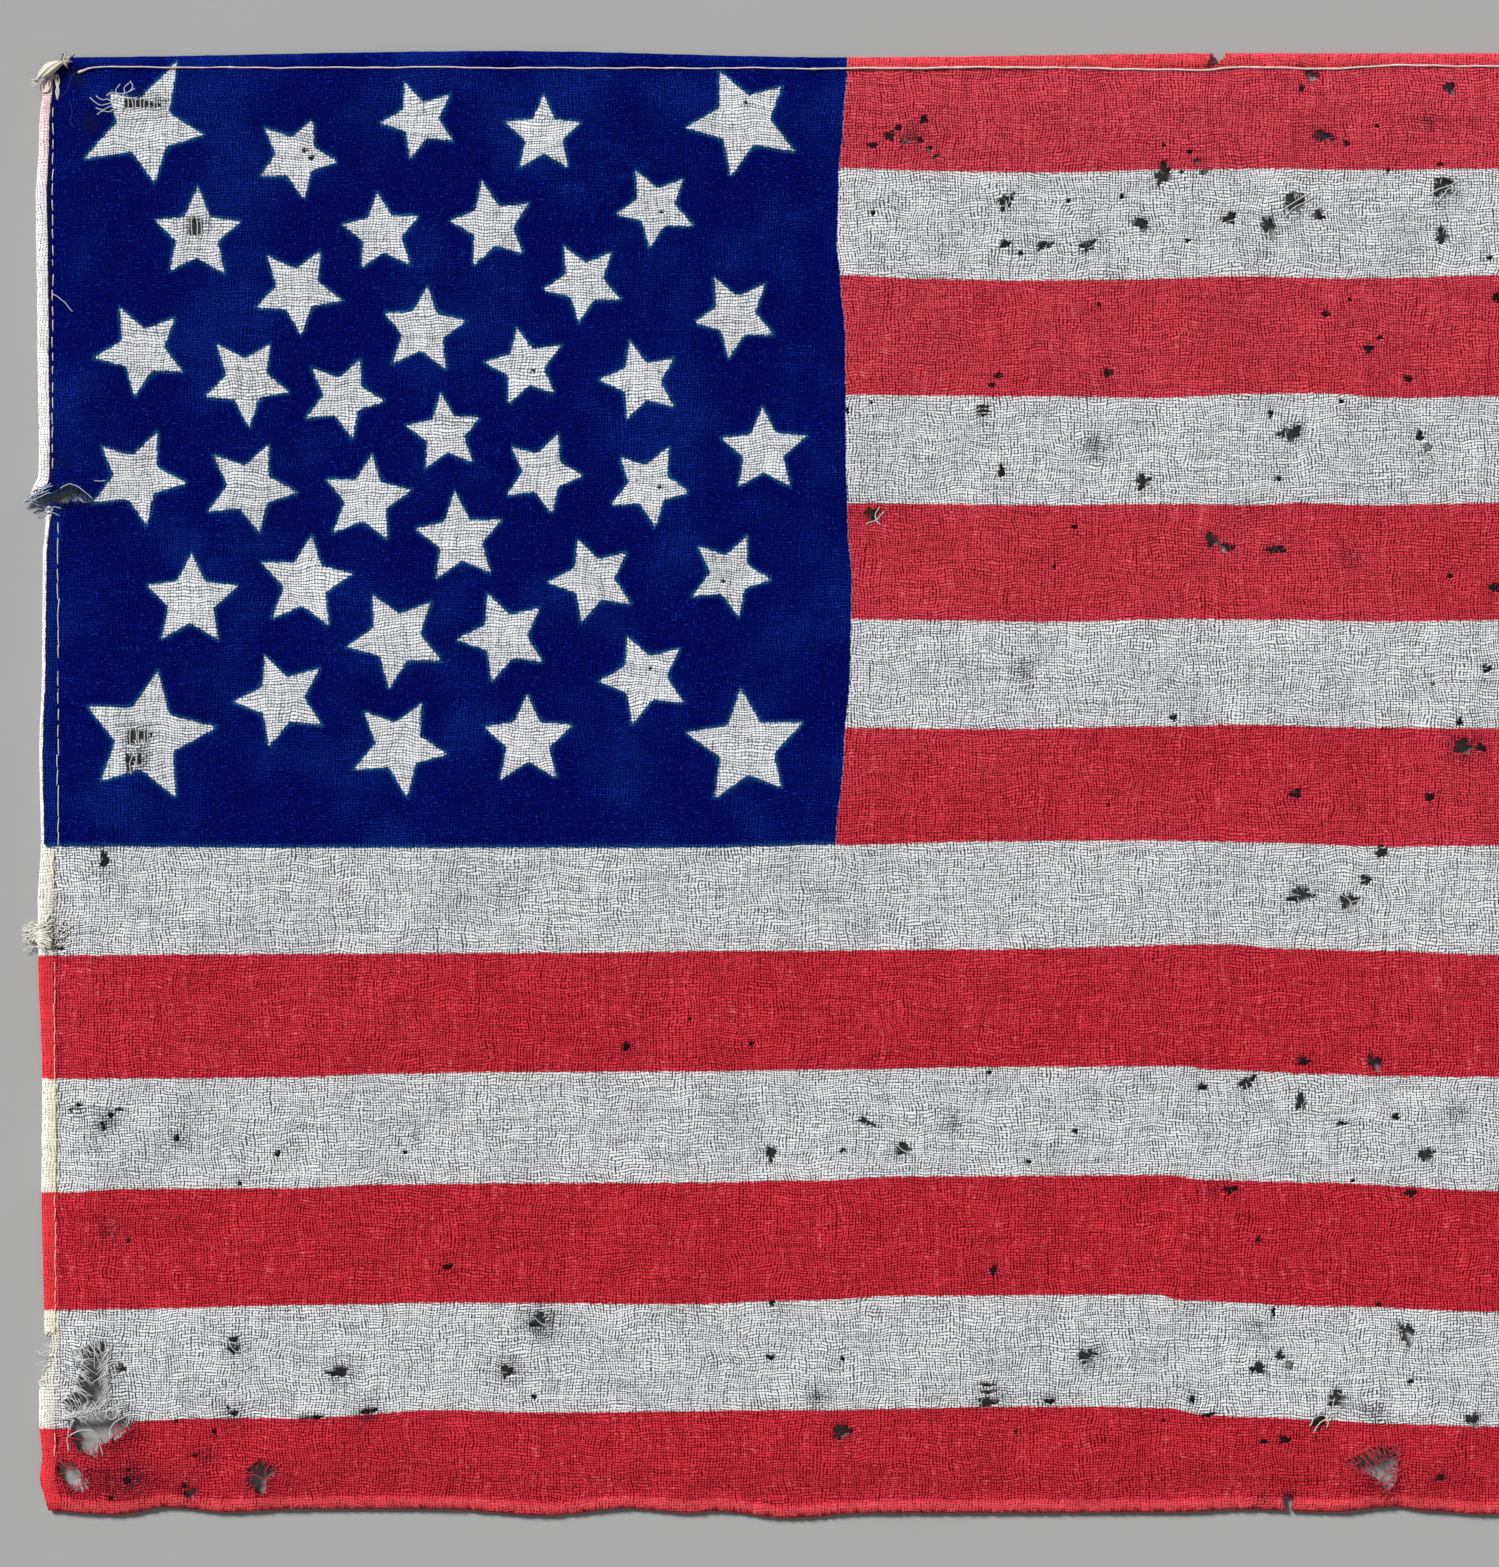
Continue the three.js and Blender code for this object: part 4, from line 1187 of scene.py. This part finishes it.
RED_STRANDS = [
    [(22.6, 431.4), (24.4, 430.2), (26.8, 431.6), (29.2, 431.8)],
    [(21.6, 435.6), (24, 432.6), (27.6, 430.6)],
    [(9.6, 440.4), (12.8, 443.6), (14.6, 446.8), (15.6, 450.4)],
    [(4.6, 441.4), (8.4, 443.6), (11.6, 444.2), (14.6, 444)],
    [(12, 442.6), (13.4, 445.6), (12.6, 448.4), (14.4, 451.4)],
    [(9.4, 450.8), (12, 449.6), (15.6, 448.6), (18.4, 448.8)],
    [(15, 438), (15.6, 441), (17.4, 443.4)],
    [(408.8, 440.4), (411.6, 442.2), (414.4, 445.2)],
    [(411.8, 437.6), (415.8, 440.6), (418.6, 443.7)],
    [(415.4, 436.4), (419, 438), (422.2, 440)],
    [(427.4, 440.8), (424, 443.4), (421.2, 447.3)],
    [(427.6, 443.8), (424.8, 446.4), (422.8, 449.4)],
    [(428, 439), (424.6, 440.6), (421, 440.8)],
    [(64, 446.4), (67, 445.8), (70.4, 447.4)],
    [(72.6, 441.8), (70.6, 444.6), (71, 448.4)],
    [(403.4, 26.6), (406, 25.4), (408.4, 26.2)],
    [(265.4, 23.4), (269, 24.4), (272.6, 24), (275, 25.4)],
    [(270, 28.6), (271.6, 26), (270.8, 23.4)],
]
BLUE_STRANDS = [
    [(-4.6, 138.4), (-2.6, 138.8), (0.6, 137.8), (3.4, 137)],
    [(-5.6, 140), (-3, 139.6), (-0.6, 140.6), (2, 139.4), (4.4, 137.4)],
    [(-4, 142), (-1.4, 141.4), (1, 142.2), (3.6, 141.4)],
    [(-3.4, 140.6), (-1, 141.6), (1.6, 140.8), (4.6, 141.8), (7, 141)],
    [(-1.8, 136.4), (0.4, 138), (2.6, 138.2), (5.4, 136.4)],
    [(5.6, 138.6), (8.4, 137), (11, 137.6), (14, 139.8)],
    [(8, 141.4), (10, 139), (12.6, 138.4), (15.4, 140.8)],
    [(-2.8, 143.4), (-0.6, 142.6), (2, 143.6), (4, 142.8)],
    [(7.6, 3.4), (8.6, 0.6), (10.2, -0.8)],
    [(6.6, 2.6), (6.2, 0.4), (7.4, -1.6)],
    [(6.4, 12.4), (8.4, 10), (9.2, 6.4), (11, 5)],
    [(8.6, 14), (9.6, 16.8), (9, 20.4), (10.6, 22.4)],
]
PALE_FIBRES = [
    [(-6.4, 140.6), (-4.2, 138.9), (-1.6, 137.2), (1.2, 135.8), (3.6, 134.9)],
    [(-5.8, 139.6), (-3.4, 138.2), (-0.8, 137.6), (2.4, 136.4)],
    [(-5, 140.4), (-2.4, 139.4), (0.4, 138), (3, 137.2)],
    [(-3.6, 136.8), (-1.6, 136.2), (0.8, 135.6), (2.8, 134.2)],
    [(-2.2, 134.6), (-0.4, 135.4), (1.6, 134.6)],
    [(0.2, 143.6), (2, 142.2), (4.4, 141.6), (6.2, 142.2)],
    [(-0.6, 144.8), (1.4, 143.6), (3.4, 143.4), (5.6, 144.4)],
    [(3.5, 74.6), (6, 76.2), (8.2, 78.4), (9.8, 80.2)],
    [(6, 135.8), (9, 134.4), (12, 135.6), (14.8, 137.8), (16.6, 139.4)],
    [(16.8, 133.4), (18.6, 133.6), (20.2, 133.4)],
]

# The dyes of the yarns.
UNDYED, DYED_RED, DYED_BLUE = 0, 1, 2
# How far apart short frayed ends stand on the edge of an opening that is wider than WIDE_OPENING, and of one
# that isn't.
DENSE_FRAY, SPARSE_FRAY = 1.3, 3.4
WIDE_OPENING = 6
# Where long yarns hang in a tear: tear, how many, which way they lean, shortest and longest.
FRINGES = [
    ("hoist_tear", 130, (0.35, 0.5), 2.5, 5.5), ("hem_gap", 24, (-0.2, 0.2), 1.5, 3.5),
    ("stripe_tear", 40, (0.2, 0.1), 1.5, 3.5), ("corner_tear", 26, (0.2, 0.2), 1.5, 3.5),
    ("snag_tear", 64, (0.3, 0.3), 2.0, 6.0), ("hoist_notch", 34, (-0.3, 0.1), 1.2, 3.0),
    ("low_hole", 20, (0.1, 0.2), 1.0, 2.4),
]
FRINGE_STEPS = 9


def strands(lists, lift, sag, rng):
    """Strand paths: smooth through their points, with a slight wander, on the cloth and sagging between
    their ends by half a sine wave."""
    made = []
    for points in lists:
        path = route(points, 12)
        wander = ripple(*path.T, 3.1, int(rng.integers(1000)), 5)
        path += wander[:, None] * rng.uniform(-0.09, 0.09, 2)
        path = on_cloth(path, lift)
        path[:, 2] -= sag * np.sin(np.linspace(0, math.pi, len(path)))
        made.append(path)
    return np.array(made)


def fringe(name, count, lean, shortest, longest, rng, is_dye):
    """Long broken yarns of one dye round a tear. Each starts at a random place on its edge, leans from
    square to the edge towards lean, and bends on that way in proportion to t squared."""
    loop = resampled(TEARS[name], 0.5)
    pick = rng.integers(0, len(loop), count)
    way = unit(-outward(loop)[pick] * 0.8 + np.array(lean) + rng.normal(0, 0.25, (count, 2)))
    bend = (np.array(lean) + rng.normal(0, 0.35, (count, 2))) * rng.uniform(0.2, 0.9, (count, 1))
    length = rng.uniform(shortest, longest, count)[:, None, None]
    t = np.linspace(0, 1, FRINGE_STEPS)[None, :, None]
    flat = loop[pick][:, None] - way[:, None] * 1.2 + (way[:, None] * t + bend[:, None] * t**2) * length
    drop = rng.uniform(-0.2, 0.8, (count, 1)) * t[0, :, 0] ** 2
    height = face_height(flat[..., 0], flat[..., 1]) + 0.12 - drop
    start = flat[:, 0]
    kept = is_dye(*start.T) & (from_nearest_edge(*start.T) > 0.6)
    return np.concatenate([flat, height[..., None]], axis=2)[kept]


def ladder_warp(rng):
    """The warp yarns that stand across each ladder, upright, with a slight bow and lean."""
    t = np.linspace(-0.5, 0.5, 8)
    paths = []
    for start, end, down, height in LADDERS:
        for along in np.arange(start + LADDER_PITCH / 2, end, LADDER_PITCH):
            bow, lean = rng.normal(0, 0.3, 2)
            side = along + bow * (0.25 - t**2) * 4 + lean * t
            paths.append(on_cloth(np.stack([side, down + t * (height + 1.2)], 1), -0.05))
    return np.array(paths)


def make_loose_yarns(loops, stars):
    """Loose yarns of each dye: the strands that cross the tears, the frayed ends round every opening, and
    the long fringes. The warp in the ladders is undyed."""
    rng = np.random.default_rng(31)
    ends = frayed_ends(loops, stars, rng)
    pieces = []
    for kind, dye, lists, light, deep in (
        ("undyed", UNDYED, WHITE_STRANDS, UNDYED_YARN, UNDYED_DEEP),
        ("red", DYED_RED, RED_STRANDS, RED_YARN, RED_DEEP),
        ("blue", DYED_BLUE, BLUE_STRANDS, BLUE_YARN, BLUE_DEEP),
    ):
        groups = [(ends[dye], (0.15, 0.15, 0.13, 0.08), 4), (strands(lists, 0.14, 0.25, rng), 0.17, 6)]
        for tear in FRINGES:
            yarns = fringe(*tear, rng, lambda *place: dye_at(stars, *place) == dye)
            groups.append((yarns, np.linspace(0.19, 0.1, FRINGE_STEPS), 5))
        if dye == UNDYED:
            groups.append((ladder_warp(rng), 0.17, 6))
        finish = yarn_finish(f"{kind}_yarn", light, deep)
        pieces.append(make_yarns(f"loose_{kind}_yarns", groups, finish))
    return pieces


# The hem thread along the top, and the stitching down the hoist.
HEM_THREAD = [
    (11.6, 4.7), (14, 3.9), (18.3, 3.3), (43, 3.3), (80, 3.4), (120, 3.3), (165, 3.5), (210, 3.5),
    (248, 3.7), (280, 3.5), (311, 3.3), (351.8, 4), (366.3, 4.2), (375.7, 3.15), (402, 3.7),
    (427.7, 2.7), (458.5, 3), (510, 3.4), (560, 3.1), (620, 3.5), (680, 3.2),
]
# The knot near the thread's start, and how far apart the humps are. The first is half a gap past HUMPS_FROM.
KNOT_AT = 12
HUMPS_FROM, HUMP_GAP = 36, 46


def make_hem_thread():
    """A thread laid along the hem, with a knot near its start and low humps where it is caught down, each a
    bell curve on its radius."""
    path = on_cloth(route(HEM_THREAD, 420), 0.16)
    at = path[:, 0]
    path[:, 1] += 0.1 * np.sin(at / 5.3) + 0.06 * np.sin(at / 1.9)
    path[:, 2] += 0.08 * np.sin(at / 2.1)
    radius = 0.2 + 0.09 * step(at, 235, 265) + 0.05 * np.sin(at / 1.3) ** 2
    radius += 0.28 * np.exp(-(((at - KNOT_AT) / 0.8) ** 2))
    radius += 0.1 * np.exp(-(((at - HUMPS_FROM) % HUMP_GAP - HUMP_GAP / 2) ** 2) / 1.4)
    finish = yarn_finish("hem_thread_linen", HEM_THREAD_PALE, HEM_THREAD_DEEP)
    return make_yarns("top_hem_thread", [(path[None], radius[None], 6)], finish)


# Rows of stitches down the hoist: from, to, along, length of a stitch and gap.
WHITE_ROWS = [(16, 129, 3.4, 3.4, 1.4), (146, 246, 5.1, 4.8, 0.1)]
TAN_ROWS = [(251, 270, 3.8, 3.6, 0.1), (324, 356, 4.4, 3.8, 0.3), (396, 400, 4.2, 3, 0.3)]
STRAW_ROWS = [(285, 320, 4.1, 4.2, 0.1), (358, 393, 4.3, 4.2, 0.1), (433, 440, 4.2, 3.4, 0.2)]


def stitch_paths(rows, rng):
    """Stitches: short arcs of half a sine wave that come up through the cloth, lie on it and go down
    again."""
    t = np.linspace(0, 1, 7)
    made = []
    for start, end, along, length, gap in rows:
        places = np.arange(start, end, length + gap)
        for down in places + rng.uniform(-0.3, 0.3, len(places)) * gap:
            first, last = along + rng.normal(0, 0.14, 2)
            path = np.stack([first + (last - first) * t, down + length * rng.uniform(0.75, 1.15) * t], 1)
            path = on_cloth(path, 0.0)
            path[:, 2] += 0.24 * np.sin(t * math.pi) - 0.1
            made.append(path)
    return np.array(made)


def make_hoist_stitching():
    """Rows of hoist stitches: white ones beside the canton, tan ones in the cream, straw ones in the red."""
    rng = np.random.default_rng(33)
    pieces = []
    for kind, rows, light, deep in (
        ("white", WHITE_ROWS, STITCH_WHITE, STITCH_GREY),
        ("tan", TAN_ROWS, STITCH_TAN, STITCH_BROWN),
        ("straw", STRAW_ROWS, STITCH_STRAW, STITCH_RUST),
    ):
        finish = yarn_finish(f"stitching_{kind}", light, deep)
        groups = [(stitch_paths(rows, rng), 0.18, 5)]
        pieces.append(make_yarns(f"hoist_stitches_{kind}", groups, finish))
    return pieces


# The corner tie's tape as (along, down, height), its frayed ends as (start, end, rise), and its curls.
TAPE_PATH = [(-1.4, 7.3, 0.5), (0.4, 5.6, 0.9), (2.6, 4.1, 1.2), (5, 2.8, 1.1), (7.1, 1.7, 0.5)]
TAPE_STEPS, TAPE_SIDES, TAPE_RIDGES = 60, 40, 7
FRAYED_ENDS = [
    ((-1.4, 7.4), (-3.2, 8.6), 0.9), ((-1.2, 7.8), (-2.2, 9.8), 1.0), ((-0.8, 7.6), (-2.6, 7.6), 1.4),
    ((7.2, 1.7), (9, 0.4), 0.9), ((7.3, 1.9), (8.8, 1.6), 0.7), ((7, 1.4), (7.8, -0.8), 1.1),
    ((6.8, 1.9), (8.2, 3.2), 0.9),
]
FIBRES_EACH, FIBRE_STEPS = 5, 8
CURLS = [
    [
        (0.6, 7.6, 1.2), (-0.4, 9, 1.3), (-0.2, 10.6, 1.1), (1.2, 11.2, 1.0), (2.2, 10, 1.2), (2, 8.4, 1.4),
        (2.6, 6.6, 1.4),
    ],
    [(1, 7.2, 1.0), (0.2, 9.2, 1.2), (0.6, 10.8, 1.1), (2, 10.8, 1.1), (2.8, 9, 1.2), (2.6, 7, 1.2)],
    [(3.6, 5.6, 1.0), (4.2, 7.4, 0.9), (4.9, 10, 0.8), (4.7, 13, 0.6)],
    [(4.4, 5.4, 1.0), (4.8, 7.8, 0.9), (5.4, 10.4, 0.8), (5.1, 12.8, 0.6)],
    [(5, 5.6, 0.9), (5.5, 8, 0.8), (4.5, 10.8, 0.8), (5, 13.4, 0.5)],
]


def make_tape_twist(base, finish, rng):
    """A flat tape twisted on itself. Its section is an ellipse with seven ridges that turn as they go along
    the path, and it is widest in the middle, by a power of half a sine wave."""
    path = route(TAPE_PATH, TAPE_STEPS)
    path[:, 2] += base - 0.2
    t = np.linspace(0, 1, TAPE_STEPS)[:, None]
    wide = 0.25 + 1.45 * np.sin(t * math.pi) ** 1.1
    thick = 0.35 + 0.42 * np.sin(t * math.pi) ** 0.7
    ahead = unit(np.gradient(path, axis=0))
    across = unit(np.cross(ahead, (0, 0, 1.0)))
    up = np.cross(across, ahead)
    angle = np.arange(TAPE_SIDES) * 2 * math.pi / TAPE_SIDES
    rough = 0.03 * rng.normal(size=(TAPE_STEPS, TAPE_SIDES))
    ridge = 1 + 0.17 * np.cos(TAPE_RIDGES * (angle + t)) + rough
    ring = path[:, None] + across[:, None] * (wide * np.cos(angle) * ridge)[..., None]
    ring = ring + up[:, None] * (thick * np.sin(angle) * ridge)[..., None]
    tips = np.stack([path[0] - ahead[0] * 0.4, path[-1] + ahead[-1] * 0.4])
    points, faces = skinned(ring[None], tips[None])
    # placed() turns down into up, and so turns the faces over. They are turned back.
    faces = [np.roll(group[:, ::-1], 1, axis=1) for group in faces]
    return new_piece("corner_tie_twist", placed(*points.T), faces, finish)


def make_tape_fibres(base, finish, rng):
    """The tape's frayed ends, each a spray of fibres bent through a shaken middle, and its curled
    threads."""
    fibres, curls = [], []
    for start, stop, rise in FRAYED_ENDS:
        for _ in range(FIBRES_EACH):
            spread = rng.normal(0, 0.5, 2)
            middle = (np.array(start) + stop) / 2 + rng.normal(0, 0.25, 2)
            flat = route([start + spread * 0.3, middle, stop + spread], FIBRE_STEPS)
            height = base + 0.3 + rise * 0.5 * np.sin(np.linspace(0, math.pi, FIBRE_STEPS))
            fibres.append(np.column_stack([flat, height]))
    for curl in CURLS:
        path = route(curl, 20)
        path[:, 2] = np.maximum(path[:, 2] + 1.2, 0.3) * 0.5 + face_height(path[:, 0], path[:, 1]) * 0.5
        curls.append(path)
    groups = [(np.array(fibres), np.linspace(0.13, 0.06, FIBRE_STEPS), 4), (np.array(curls), 0.24, 6)]
    return make_yarns("corner_tie_fibres", groups, finish)


def make_corner_tie():
    """The corner tie's stub, as high as its solid stands: the twisted tape and its loose fibres."""
    rng = np.random.default_rng(34)
    tie_low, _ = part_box("corner_tie")
    base = tie_low[2] / MM
    finish = yarn_finish("cream_tape_twist", TAPE, TAPE_DEEP)
    tie = make_tape_twist(base, finish, rng)
    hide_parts("corner_tie")
    return [tie, make_tape_fibres(base, finish, rng)]


# The lower tie: how many yarns and wisps, and how far down they start and end.
TIE_YARNS, TIE_WISPS, TIE_STEPS = 64, 20, 22
TIE_ROOT, TIE_TIP = 276.6, 276.0


def make_lower_tie():
    """The lower tie's stub: a wisp of yarns that come out from the hoist and curl, each a path that winds
    round its line with a radius that grows and shrinks again, and arcs of fibres on the cloth beside it."""
    rng = np.random.default_rng(35)
    t = np.linspace(0, 1, TIE_STEPS)
    yarns, wisps = [], []
    for _ in range(TIE_YARNS):
        start = np.array([rng.uniform(0.2, 3.4), TIE_ROOT + rng.normal(0, 2.4)])
        stop = np.array([rng.uniform(-6.4, -2.6), TIE_TIP + rng.normal(0, 1.5)])
        line = start + (stop - start) * t[:, None]
        angle = rng.uniform(0.6, 2.2) * 2 * math.pi * t + rng.uniform(0, 2 * math.pi)
        swing = rng.uniform(0.25, 0.9) * np.sin(t * math.pi * 0.9)
        line += np.stack([swing * np.cos(angle), swing * np.sin(angle)], 1)
        over = step(line[:, 0], -2.4, 0.6)
        face = face_height(np.maximum(line[:, 0], 0.6), line[:, 1])
        height = (1.3 + rng.uniform(-0.5, 0.7)) * (1 - over) + (face + rng.uniform(0.1, 0.9)) * over
        yarns.append(np.column_stack([line, np.maximum(height, 0.25)]))
    for _ in range(TIE_WISPS):
        centre = np.array([rng.uniform(2.5, 8.5), rng.uniform(272.6, 281.6)])
        size = rng.uniform(0.6, 1.8)
        angle = rng.uniform(0, 6.28) + t * rng.uniform(2.4, 6.5)
        flat = centre + size * np.stack([np.cos(angle), np.sin(angle) * 0.8], 1) * (0.6 + 0.4 * t[:, None])
        wisps.append(on_cloth(flat, rng.uniform(0.1, 0.6)))
    finish = yarn_finish("undyed_wisp", WISP, WISP_DEEP)
    groups = [(np.array(yarns), np.linspace(0.27, 0.12, TIE_STEPS), 5), (np.array(wisps), 0.15, 4)]
    tie = make_yarns("lower_tie_wisp", groups, finish)
    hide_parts("lower_tie")
    return tie


def make_pale_fibres():
    """Single pale fibres caught on the face."""
    rng = np.random.default_rng(36)
    finish = yarn_finish("pale_fibre", PALE_FIBRE, PALE_FIBRE_DEEP)
    paths = strands(PALE_FIBRES, 0.14, 0.0, rng)
    return make_yarns("pale_fibres", [(paths, 0.16, 5)], finish)


# Metres: half the floor's side, and its height.
FLOOR_HALF, FLOOR_LEVEL = 2.4, -0.0002


def make_floor():
    """The floor: one plain level square, just under the flag."""
    corners = [(-1, -1), (1, -1), (1, 1), (-1, 1)]
    points = [(x * FLOOR_HALF, y * FLOOR_HALF, FLOOR_LEVEL) for x, y in corners]
    mesh = bpy.data.meshes.new("floor")
    mesh.from_pydata(points, [], [(0, 1, 2, 3)])
    mesh.materials.append(floor_finish())
    floor = bpy.data.objects.new("floor", mesh)
    bpy.context.scene.collection.objects.link(floor)


# The camera looks straight down at this place, from far enough to take in this height, in metres.
VIEW_ALONG, VIEW_DOWN = 222.65, 228.6
VIEW_HEIGHT = 0.4931
LENS, SENSOR = 85, 36


def make_camera():
    """A camera straight above. Its distance is the height in view times the lens length over the sensor's
    width."""
    data = bpy.data.cameras.new("camera")
    data.lens, data.sensor_width = LENS, SENSOR
    camera = bpy.data.objects.new("camera", data)
    camera.location = (
        (HOIST_LINE + VIEW_ALONG) * MM,
        (TOP_LINE - VIEW_DOWN) * MM,
        VIEW_HEIGHT * LENS / SENSOR + FIELD_TOP * MM,
    )
    bpy.context.scene.collection.objects.link(camera)
    bpy.context.scene.camera = camera


def make_sun(name, towards, energy, width):
    """Even light from a direction. Its width in degrees softens the shadows."""
    data = bpy.data.lights.new(name, "SUN")
    data.energy = energy
    data.angle = math.radians(width)
    lamp = bpy.data.objects.new(name, data)
    lamp.location = towards
    lamp.rotation_euler = Vector(towards).to_track_quat("Z", "Y").to_euler()
    bpy.context.scene.collection.objects.link(lamp)


def make_lights():
    """Soft studio light: a broad key from the upper left, a weak one from the lower right, and a pale
    room."""
    make_sun("key", (-1.6, 1.7, 1.5), 4.75, 16)
    make_sun("fill", (1.5, -1.2, 1.2), 0.3, 50)
    world = bpy.data.worlds.new("room")
    world.use_nodes = True
    background = next(node for node in world.node_tree.nodes if node.type == "BACKGROUND")
    background.inputs["Color"].default_value = (0.93, 0.96, 1.0, 1)
    background.inputs["Strength"].default_value = 0.15
    bpy.context.scene.world = world
    bpy.context.scene.view_settings.view_transform = "Standard"


make_camera()
make_lights()
make_floor()
tears = tear_loops()
star_shapes = star_loops()
cloth = make_cloth(tears, star_shapes, flag_finish())
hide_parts("flag_cloth")
extras = [
    *make_loose_yarns(tears, star_shapes),
    make_hem_thread(),
    *make_hoist_stitching(),
    *make_corner_tie(),
    make_lower_tie(),
    make_pale_fibres(),
]
